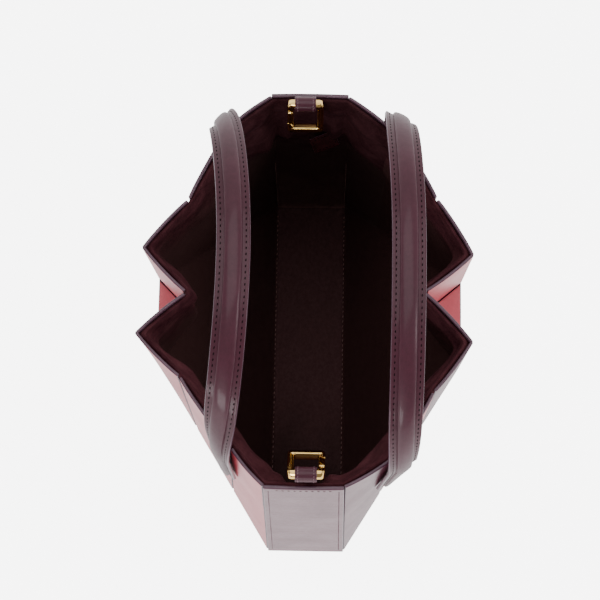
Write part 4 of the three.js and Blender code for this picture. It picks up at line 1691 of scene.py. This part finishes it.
@dataclass
class Handle:
    """A rolled strap handle: two stitched flanges with a smooth roll between them."""

    pattern: BagPattern
    wardrobe: Wardrobe
    side: Side
    apex: float
    feet: dict[End, StrapFoot]
    width: float = 19.4
    flange: float = 2.4
    edge_radius: float = 0.8
    edge_steps: int = 9
    painted: Pair = (70.0, 40.0)
    back_stops: Triple = (-4.0, 0.0, 4.0)
    groove: tuple[Pair, ...] = ((0.9, 0.0), (0.55, -0.06), (0.0, -0.2), (-0.55, -0.06), (-0.9, 0.0))
    roll_step: tuple[Pair, ...] = ((0.35, 0.0), (0.12, 0.02), (0.04, 0.25), (0.0, 0.48))
    roll_width: float = 10.2
    roll_height: float = 2.7
    roll_foot: float = 0.5
    roll_shape: float = 0.7
    roll_steps: int = 20
    foot_drop: float = 75.0
    rise: float = 80.0
    squareness: float = 0.9
    gap: float = 0.5
    turn_height: float = 80.0
    foot_steps: int = 22
    arch_steps: int = 150
    smooth_rounds: int = 3
    stitch_at: float = 7.3
    stitch_depth: float = 0.2
    stitch_skip: int = 2
    stitch: StitchSize = StitchSize(length=1.7, width=0.85, height=0.26, sink=0.02)
    sharp: float = 60.0
    fill: float = 0.95

    def section(self) -> tuple[Points, list[int]]:
        """Draw the strap's section.

        Returns:
            Points (across, out) round the section, and the finish of the edge after each.
        """
        half = self.width / 2.0
        rolled = self.roll_width / 2.0
        r = self.edge_radius
        low, high = self.painted
        loop: list[Pair] = []
        kinds: list[int] = []

        def put(w: float, n: float, painted: bool = False) -> None:
            """Add one point of the section."""
            loop.append((w, n))
            kinds.append(int(painted))

        put(-half + r, 0.0)
        for w in self.back_stops:
            put(w, 0.0)
        put(half - r, 0.0)
        for angle in np.linspace(-90.0, 90.0, self.edge_steps):
            lift = r if angle <= 0 else self.flange - r
            a = math.radians(angle)
            put(half - r + r * math.cos(a), lift + r * math.sin(a), -low < angle < high)
        for w, n in self.groove:
            put(self.stitch_at + w, self.flange + n)
        for w, n in self.roll_step:
            put(rolled + w, self.flange + n)
        for i in range(1, self.roll_steps):
            a = math.pi * i / self.roll_steps
            lift = (self.roll_height - self.roll_foot) * math.sin(a) ** self.roll_shape
            put(rolled * math.cos(a), self.flange + self.roll_foot + lift)
        for w, n in self.roll_step[::-1]:
            put(-rolled - w, self.flange + n)
        for w, n in self.groove[::-1]:
            put(-self.stitch_at - w, self.flange + n)
        for angle in np.linspace(90.0, -90.0, self.edge_steps):
            lift = r if angle <= 0 else self.flange - r
            a = math.radians(angle)
            put(-half + r - r * math.cos(a), lift + r * math.sin(a), -high < angle < low)
        return np.array(loop), kinds

    def foot(self, end: End) -> tuple[Points, Points, Callable[[float], Points]]:
        """Find where a foot of the strap leaves the rim.

        Args:
            end: Front or back foot.

        Returns:
            Its top, the direction down the wall, and the strap's width direction by its drop below
            the rim.
        """
        sx, sy = self.side.value, end.value
        at = {key: self.pattern.corner(key, sx, sy) for key in ("S", "H1", "H2", "s", "k1", "k2")}
        spot = self.feet[end]
        rim_key, keel_key = ("H2", "k2") if spot.along >= 0.0 else ("S", "s")
        rim_run = at[rim_key] - at["H1"]
        keel_run = at[keel_key] - at["k1"]
        share = abs(spot.along) / np.linalg.norm(rim_run)
        top = at["H1"] + rim_run * share
        run = at["k1"] + keel_run * share - top
        reach = np.linalg.norm(run)
        ridge = unit(at["H2"] - at["H1"]) - unit(at["S"] - at["H1"])

        def wide_at(drop: float) -> Points:
            """Return the strap's width direction at a drop below the rim."""
            across = rim_run + (keel_run - rim_run) * (drop / reach) if share > 0 else ridge
            return unit(across if across[0] > 0 else -across)

        wide = wide_at(0.0)
        out = np.array([abs(wide[1]) * sx, abs(wide[0]) * sy, 0.0])
        tip = top + run * (self.foot_drop / reach) + wide_at(self.foot_drop) * spot.tip_shift
        tip = tip + out * self.gap
        top = top + wide * spot.rim_shift + out * (self.gap + spot.stand)
        return top, unit(tip - top), wide_at

    def stations(self) -> tuple[Points, Points, Points]:
        """Follow the strap from its front foot to its back foot.

        Returns:
            Places on its underside, its width directions and its outward directions.
        """
        feet = {end: self.foot(end) for end in End}
        places = []
        for i in range(self.foot_steps):
            drop = self.foot_drop * (1.0 - i / self.foot_steps)
            places.append(feet[End.FRONT][0] + feet[End.FRONT][1] * drop)
        for angle in np.linspace(-math.pi / 2.0, math.pi / 2.0, self.arch_steps + 1):
            share = max(math.cos(angle), 0.0) ** self.squareness
            top = feet[End.FRONT if angle < 0 else End.BACK][0]
            reach = abs(math.sin(angle)) ** self.squareness
            x = self.apex + (top[0] - self.apex) * reach * reach
            y = top[1] * reach
            places.append(np.array([x, y, self.pattern.rim_z + self.rise * share]))
        for i in range(self.foot_steps):
            drop = self.foot_drop * (i + 1) / self.foot_steps
            places.append(feet[End.BACK][0] + feet[End.BACK][1] * drop)
        at = np.array(places)
        ahead = unit(np.gradient(at, axis=0))
        for _ in range(self.smooth_rounds):
            ahead[1:-1] = unit(ahead[:-2] + ahead[1:-1] + ahead[2:])
        wide = []
        for p, along in zip(at, ahead):
            share = smooth_step((p[2] - self.pattern.rim_z) / self.turn_height)
            wide_at = feet[End.FRONT if p[1] < 0 else End.BACK][2]
            drop = max(self.pattern.rim_z - p[2], 0.0)
            across = wide_at(drop) * (1.0 - share) + np.array([share, 0.0, 0.0])
            wide.append(unit(across - along * np.dot(across, along)))
        widths = np.array(wide)
        return at, widths, unit(np.cross(widths, ahead))

    def build(self) -> None:
        """Make the strap and its two rows of stitches."""
        at, wide, out = self.stations()
        section, kinds = self.section()
        grid = at[:, None] + wide[:, None] * section[None, :, :1] + out[:, None] * section[None, :, 1:]
        draft = MeshDraft()
        finish = np.tile(np.array(kinds), (len(at) - 1, 1))
        draft.add_grid(grid, finish, wrap=True, flip=True)
        last = (len(at) - 1) * len(section)
        for face in tessellate_polygon([[Vector((w, n, 0.0)) for w, n in section]]):
            draft.add_face(face, 1)
            draft.add_face([last + i for i in reversed(face)], 1)
        name = f"handle_{self.side.label}"
        piece = draft.build(f"{name}_strap", self.wardrobe.get("roll", "edge"), sharp=self.sharp)
        settle(piece, "bag", [name])
        sewn = MeshDraft()
        for row in (-self.stitch_at, self.stitch_at):
            line = at + wide * row + out * (self.flange - self.stitch_depth)
            kept = slice(self.stitch_skip, -self.stitch_skip)
            StitchRow(line[kept], out[kept], self.stitch).add_to(sewn)
        threads = sewn.build(f"{name}_stitches", self.wardrobe.get("thread"))
        settle(threads, "bag")


@dataclass
class SnapHook:
    """A square gold hook with a sprung gate, hanging from its bar."""

    pattern: BagPattern
    wardrobe: Wardrobe
    end: End
    hang: float
    shift: float
    axis_in: float
    size: float = 22.2
    bar: float = 3.7
    thick: float = 5.0
    corner: float = 3.2
    window_corner: float = 1.6
    gate_pivot: float = 6.2
    gate_to: float = 14.6
    gate_gap: float = 0.35
    gate_slant: float = 2.2
    axis_above: float = 5.3
    hinge_corner: float = 0.3
    mouth_corner: float = 0.25
    corner_steps: int = 9
    knuckle_steps: int = 19
    bevel: float = 0.75
    gate_bevel_share: float = 0.8
    bevel_angles: Stops = (-90.0, -60.0, -30.0, 0.0, 0.0, 30.0, 60.0, 90.0)
    least_reach: float = 0.6
    sharp: float = 35.0

    def axis(self) -> Points:
        """Return the middle of the bar."""
        y = self.pattern.end_wall(self.end, 0.0, self.pattern.rim_z) - self.axis_in
        return np.array([self.shift, y * self.end.value, self.pattern.rim_z + self.axis_above])

    def basis(self) -> Points:
        """Return the directions along the bar, down the hook and out of its face, as columns."""
        tilt = math.radians(self.hang)
        turn = -self.end.value
        across = np.array([float(turn), 0.0, 0.0])
        down = np.array([0.0, turn * math.cos(tilt), -math.sin(tilt)])
        return np.stack([across, down, np.cross(across, down)], axis=1)

    def rounded(self, loop: Sequence[Triple]) -> Points:
        """Round the corners of an outline.

        Args:
            loop: Corners with the radius of each.

        Returns:
            Points of the outline.
        """
        points = []
        count = len(loop)
        for i, (x, y, radius) in enumerate(loop):
            at = np.array([x, y])
            if radius <= 0.0:
                points.append(at)
                continue
            before = unit(np.array(loop[i - 1][:2]) - at) * radius
            after = unit(np.array(loop[(i + 1) % count][:2]) - at) * radius
            for t in np.linspace(0.0, 1.0, self.corner_steps):
                points.append(at + before * (1.0 - t) ** 2 + after * t ** 2)
        return np.array(points)

    def frame_outline(self) -> Points:
        """Return the outline of the open frame."""
        half = self.size / 2.0
        window = half - self.bar
        top = -self.bar / 2.0
        foot = top + self.size
        hinge = self.gate_pivot - self.bar / 2.0 - self.gate_gap
        inner = self.bar / 2.0
        low = foot - self.bar
        small = self.window_corner / 2.0
        return self.rounded([
            (-half, top, self.corner), (half, top, self.corner),
            (half, hinge, self.hinge_corner), (window, hinge, self.hinge_corner),
            (window, inner, small), (-window, inner, self.window_corner),
            (-window, low, self.window_corner), (window, low, small),
            (window, self.gate_to + self.gate_gap, self.mouth_corner),
            (half, self.gate_to - self.gate_slant + self.gate_gap, self.mouth_corner),
            (half, foot, self.corner), (-half, foot, self.corner)])

    def gate_outline(self) -> Points:
        """Return the outline of the gate, with a round knuckle at its hinge."""
        half = self.size / 2.0
        window = half - self.bar
        radius = self.bar / 2.0
        middle = half - radius
        points = [np.array([window, self.gate_to]), np.array([half, self.gate_to - self.gate_slant])]
        for a in np.linspace(0.0, -math.pi, self.knuckle_steps):
            points.append(np.array([middle + radius * math.cos(a), self.gate_pivot + radius * math.sin(a)]))
        return np.array(points)

    def slab(self, outline: Points, bevel: float) -> MeshDraft:
        """Thicken an outline into a slab with rounded edges.

        Args:
            outline: Points round the shape.
            bevel: Radius of the rounded edges.

        Returns:
            The slab in the bag's frame.
        """
        x, y = outline.T
        if np.sum(x * np.roll(y, -1) - np.roll(x, -1) * y) < 0:
            outline = outline[::-1]
        before = unit(outline - np.roll(outline, 1, axis=0))
        after = unit(np.roll(outline, -1, axis=0) - outline)
        mean = unit(np.stack([-(before[:, 1] + after[:, 1]), before[:, 0] + after[:, 0]], axis=1))
        reach = np.sum(mean * np.stack([-before[:, 1], before[:, 0]], axis=1), axis=1)
        reach = np.maximum(reach, self.least_reach)
        lift = self.thick / 2.0 - bevel
        angles = np.radians(self.bevel_angles)
        layers = []
        for k, a in enumerate(angles):
            inset = bevel * (1.0 - math.cos(a))
            level = (-lift if 2 * k < len(angles) else lift) + bevel * math.sin(a)
            loop = outline + mean * (inset / reach)[:, None]
            layers.append(np.column_stack([loop, np.full(len(loop), level)]))
        grid = np.array(layers) @ self.basis().T + self.axis()
        draft = MeshDraft()
        draft.add_grid(grid, wrap=True)
        last = (len(layers) - 1) * len(outline)
        for face in tessellate_polygon([[Vector((*p[:2], 0.0)) for p in layers[-1]]]):
            draft.add_face(self.turned(face, layers[-1], True, last))
            draft.add_face(self.turned(face, layers[-1], False, 0))
        return draft

    @staticmethod
    def turned(face: Sequence[int], loop: Points, up: bool, offset: int) -> list[int]:
        """Order a cap's triangle so that it faces up or down.

        Args:
            face: Indices into the outline.
            loop: Points of the outline.
            up: Whether it faces up.
            offset: Index of the layer's first point.

        Returns:
            Indices into the draft.
        """
        a, b, c = (loop[i][:2] for i in face)
        rising = (b[0] - a[0]) * (c[1] - a[1]) - (b[1] - a[1]) * (c[0] - a[0]) > 0
        order = list(face) if rising == up else list(reversed(face))
        return [offset + i for i in order]

    def build(self) -> None:
        """Make the frame and the gate."""
        label = self.end.label
        frame = self.slab(self.frame_outline(), self.bevel)
        piece = frame.build(f"hook_{label}_frame", self.wardrobe.get("gold"), sharp=self.sharp)
        settle(piece, f"clip_{label}", [f"clip_frame_{label}"])
        gate = self.slab(self.gate_outline(), self.bevel * self.gate_bevel_share)
        piece = gate.build(f"hook_{label}_gate", self.wardrobe.get("gold"), sharp=self.sharp)
        settle(piece, f"gate_{label}", [f"clip_gate_{label}"])


@dataclass
class HookTab:
    """The stitched leather loop that carries a hook."""

    hook: SnapHook
    wardrobe: Wardrobe
    width: float = 13.0
    loop_inner: float = 3.4
    leather: float = 1.2
    tail: float = 18.0
    wall_gap: float = 0.7
    lining_face: float = 3.9
    tail_steps: int = 8
    loop_steps: int = 46
    bend_room: float = 1.4
    bend_turn: float = 0.12
    open_turn: float = 0.3
    smooth_rounds: int = 2
    near_edge: Stops = (0.0, 0.16, 0.35, 0.6, 1.2)
    step: float = 1.6
    edge_radius: float = 0.45
    stitch_at: float = 4.7
    stitch_skip: int = 12
    stitch: StitchSize = StitchSize(length=1.25, width=0.42, height=0.3, sink=0.02, pitch=1.8)

    def path(self) -> tuple[Points, Points]:
        """Follow the strap's middle up the wall and round the bar.

        Returns:
            Places (inwards, up) from the bar's axis, and the outward directions.
        """
        tail_x = self.lining_face + self.wall_gap - self.hook.axis_in + self.leather / 2.0
        radius = self.loop_inner + self.leather / 2.0
        start = math.atan2(-math.sqrt(radius * radius - tail_x * tail_x), tail_x)
        tail_end = radius * math.sin(start) - self.bend_room
        line = [np.array([tail_x, y]) for y in np.linspace(-self.tail, tail_end, self.tail_steps)]
        last = start - 2.0 * math.pi + self.open_turn
        for a in np.linspace(start - self.bend_turn, last, self.loop_steps):
            line.append(radius * np.array([math.cos(a), math.sin(a)]))
        at = np.array(line)
        for _ in range(self.smooth_rounds):
            at[1:-1] = 0.25 * at[:-2] + 0.5 * at[1:-1] + 0.25 * at[2:]
        ahead = unit(np.gradient(at, axis=0))
        return at, np.stack([-ahead[:, 1], ahead[:, 0]], axis=1)

    def placed(self, flat: Points, across: float) -> Points:
        """Move flat places to the bag's frame.

        Args:
            flat: Places (inwards, up) from the bar's axis.
            across: Distance along the bar.

        Returns:
            Places in millimetres.
        """
        inwards = -self.hook.end.value
        x = np.full(len(flat), across)
        return self.hook.axis() + np.stack([x, inwards * flat[:, 0], flat[:, 1]], axis=1)

    def build(self) -> None:
        """Make the loop and its stitches."""
        at, out = self.path()
        face_line = at + out * (self.leather / 2.0)
        stops = (edge_stops(self.width, self.near_edge, self.step) - 0.5) * self.width
        face = np.array([self.placed(face_line, w) for w in stops])
        inwards = -self.hook.end.value
        outward = np.stack([np.zeros(len(out)), inwards * out[:, 0], out[:, 1]], axis=1)
        normal = np.tile(outward, (len(stops), 1, 1))
        away = edge_distances(face)
        slab = LeatherSlab(face, normal, away, self.leather, self.edge_radius)
        name = f"tab_{self.hook.end.label}"
        piece = slab.draft().build(f"{name}_loop", self.wardrobe.get("roll", "edge"))
        settle(piece, "bag", [name])
        sewn = MeshDraft()
        for w in (-self.stitch_at, self.stitch_at):
            line = self.placed(face_line, w)[self.stitch_skip:]
            StitchRow(line, outward[self.stitch_skip:], self.stitch).add_to(sewn)
        threads = sewn.build(f"{name}_stitches", self.wardrobe.get("tab_thread"))
        settle(threads, "bag")


@dataclass
class InnerPatch:
    """The plain stitched patch on the inside of the back end."""

    pattern: BagPattern
    wardrobe: Wardrobe
    width: float = 17.0
    height: float = 11.0
    thick: float = 1.3
    x: float = 9.0
    z: float = 163.0
    gap: float = 0.4
    turn: float = math.radians(24.0)
    tilt: float = math.radians(42.0)
    lining_face: float = 3.9
    crown: float = 0.2
    crown_reach: float = 3.0
    near_edge: Stops = (0.0, 0.16, 0.35, 0.6, 1.1)
    step: float = 1.8
    edge_radius: float = 0.45
    stitch_in: float = 1.6
    stitch_steps: int = 12
    stitch: StitchSize = StitchSize(length=1.7, width=0.5, height=0.34, sink=-0.15, pitch=2.4)

    def axes(self) -> tuple[Points, Points, Points]:
        """Return the patch's directions across, up and out of its face."""
        spin = np.array(Matrix.Rotation(-self.tilt, 3, "X") @ Matrix.Rotation(-self.turn, 3, "Y"))
        return spin[:, 0], spin[:, 2], -spin[:, 1]

    def middle(self) -> Points:
        """Return the middle of the patch's face, with its top corner at the lining."""
        across, up, out = self.axes()
        reach = np.abs(across) * self.width / 2.0 + np.abs(up) * self.height / 2.0
        reach = reach + np.abs(out) * self.thick / 2.0
        top = self.z + reach[2]
        wall = min(self.pattern.end_wall(End.BACK, self.x + s * reach[0], top) for s in (-1, 1))
        y = wall - self.lining_face - self.gap - reach[1]
        return np.array([self.x, y, self.z]) + out * self.thick / 2.0

    def build(self) -> None:
        """Make the patch and the stitches round it."""
        right, up, out = self.axes()
        middle = self.middle()
        across = (edge_stops(self.width, self.near_edge, self.step) - 0.5) * self.width
        along = (edge_stops(self.height, self.near_edge, self.step) - 0.5) * self.height
        face = np.array([[middle + right * w + up * h for h in along[::-1]] for w in across])
        normal = np.tile(out, (len(across), len(along), 1))
        away = edge_distances(face)
        puff = self.crown * (1.0 - np.exp(-away / self.crown_reach))
        slab = LeatherSlab(face + normal * puff[..., None], normal, away, self.thick, self.edge_radius)
        piece = slab.draft().build("inner_patch_leather", self.wardrobe.get("patch", "edge"))
        settle(piece, "bag", ["inner_patch"])
        w, h = self.width / 2.0 - self.stitch_in, self.height / 2.0 - self.stitch_in
        ring = [(-w, -h), (w, -h), (w, h), (-w, h), (-w, -h)]
        sewn = MeshDraft()
        for (a, b), (c, d) in zip(ring, ring[1:]):
            line = np.array([middle + right * (a + (c - a) * t) + up * (b + (d - b) * t)
                             for t in np.linspace(0.0, 1.0, self.stitch_steps)])
            StitchRow(line, np.tile(out, (len(line), 1)), self.stitch).add_to(sewn)
        threads = sewn.build("inner_patch_stitches", self.wardrobe.get("thread"))
        settle(threads, "bag")


@dataclass(frozen=True)
class SoftBox:
    """A soft light on the bag: the place and size of its face in metres, and its power in watts."""

    name: str
    place: Triple
    size: Pair
    watts: float

    def build(self, aim: Triple) -> None:
        """Set up the light.

        Args:
            aim: Place that it looks at, in metres.
        """
        data = bpy.data.lights.new(self.name, "AREA")
        data.energy = self.watts
        data.shape = "RECTANGLE"
        data.size, data.size_y = self.size
        box = bpy.data.objects.new(self.name, data)
        box.location = self.place
        look = Vector(aim) - Vector(self.place)
        box.rotation_euler = look.to_track_quat("-Z", "Y").to_euler()
        bpy.context.scene.collection.objects.link(box)


@dataclass
class Studio:
    """Pale floor, soft lights and the camera."""

    floor: FloorFinish = FloorFinish("studio_floor", tone=0.6, glow=1.32, seen_glow=6.5)
    reach: float = 8000.0
    floor_z: float = -0.2
    floor_steps: int = 16
    sky_low: float = 0.26
    sky_back: float = 1.65
    sky_power: float = 2.0
    boxes: tuple[SoftBox, ...] = (
        SoftBox("key_box", place=(-0.5, -1.75, 0.62), size=(1.0, 0.45), watts=11.5),
        SoftBox("top_box", place=(-0.1, 0.28, 1.9), size=(1.3, 1.3), watts=10.3),
        SoftBox("side_box", place=(1.2, -0.24, 1.0), size=(0.36, 0.75), watts=5.4))
    aim: Triple = (0.0, 0.0, 0.15)
    lens: float = 120.0
    sensor: float = 36.0
    far: float = 20.0
    eye: Triple = (11.2625, -316.379, 1379.437)
    right: Triple = (0.999811, 0.017466, -0.008505)
    above: Triple = (-0.014666, 0.965727, 0.259146)
    behind: Triple = (0.012740, -0.258972, 0.965801)

    def build(self) -> None:
        """Set up the floor, the lights and the camera."""
        self.lay_floor()
        self.set_lights()
        self.set_camera()

    def lay_floor(self) -> None:
        """Lay a wide plain floor under the bag."""
        draft = MeshDraft()
        stops = np.linspace(-self.reach, self.reach, self.floor_steps + 1)
        draft.add_grid(np.array([[(x, y, self.floor_z) for x in stops] for y in stops]))
        floor = draft.build("studio_floor", [self.floor.make()])

    def set_lights(self) -> None:
        """Set a sky that is brighter low down behind the bag, and the soft boxes."""
        world = bpy.data.worlds.new("studio_sky")
        world.use_nodes = True
        shader = Shader(world.node_tree)
        sky = world.node_tree.nodes["Background"]
        sky.inputs["Color"].default_value = (1.0, 1.0, 1.0, 1.0)
        place = shader.add("ShaderNodeTexCoord")
        split = shader.add("ShaderNodeSeparateXYZ")
        shader.join(place.outputs["Generated"], split.inputs[0])
        back = shader.maths("MULTIPLY", shader.maths("ADD", split.outputs["Y"], 1.0), 0.5)
        low = shader.maths("SUBTRACT", 1.0, shader.maths("MAXIMUM", split.outputs["Z"], 0.0))
        share = shader.maths("MULTIPLY", shader.maths("POWER", back, self.sky_power), low)
        glow = shader.maths("MULTIPLY", share, self.sky_back)
        shader.join(shader.maths("ADD", glow, self.sky_low), sky.inputs["Strength"])
        bpy.context.scene.world = world
        for box in self.boxes:
            box.build(self.aim)

    def set_camera(self) -> None:
        """Place the camera at the photograph's viewing angle."""
        data = bpy.data.cameras.new("studio_camera")
        data.lens = self.lens
        data.sensor_width = self.sensor
        data.clip_end = self.far
        camera = bpy.data.objects.new("studio_camera", data)
        axes = Matrix((self.right, self.above, self.behind)).transposed().to_4x4()
        axes.translation = Vector(self.eye) * MM
        camera.matrix_world = axes
        bpy.context.scene.collection.objects.link(camera)
        bpy.context.scene.camera = camera


def main() -> None:
    """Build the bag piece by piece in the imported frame."""
    logging.basicConfig(level=logging.INFO, format="%(name)s: %(message)s")
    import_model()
    library = NodeLibrary()
    library.build()
    wardrobe = Wardrobe()
    wardrobe.build(library)
    pattern = BagPattern()
    Studio().build()
    hooks = [SnapHook(pattern, wardrobe, End.FRONT, hang=41.0, shift=1.3, axis_in=7.4),
             SnapHook(pattern, wardrobe, End.BACK, hang=58.0, shift=-2.7, axis_in=8.3)]
    left_feet = {End.FRONT: StrapFoot(along=3.0, stand=4.0), End.BACK: StrapFoot(along=5.0, stand=0.0)}
    right_feet = {End.FRONT: StrapFoot(along=-0.01, stand=4.0, rim_shift=3.0, tip_shift=-1.0),
                  End.BACK: StrapFoot(along=-3.0, stand=0.0)}
    handles = [Handle(pattern, wardrobe, Side.LEFT, apex=-41.0, feet=left_feet),
               Handle(pattern, wardrobe, Side.RIGHT, apex=58.0, feet=right_feet)]
    assemblies = [PanelSet(pattern, wardrobe), BaseBand(pattern, wardrobe), Lining(pattern, wardrobe),
                  *handles, *hooks, *(HookTab(hook, wardrobe) for hook in hooks),
                  InnerPatch(pattern, wardrobe)]
    for assembly in assemblies:
        assembly.build()
        LOG.info("%s done", type(assembly).__name__)


if __name__ == "__main__":
    main()
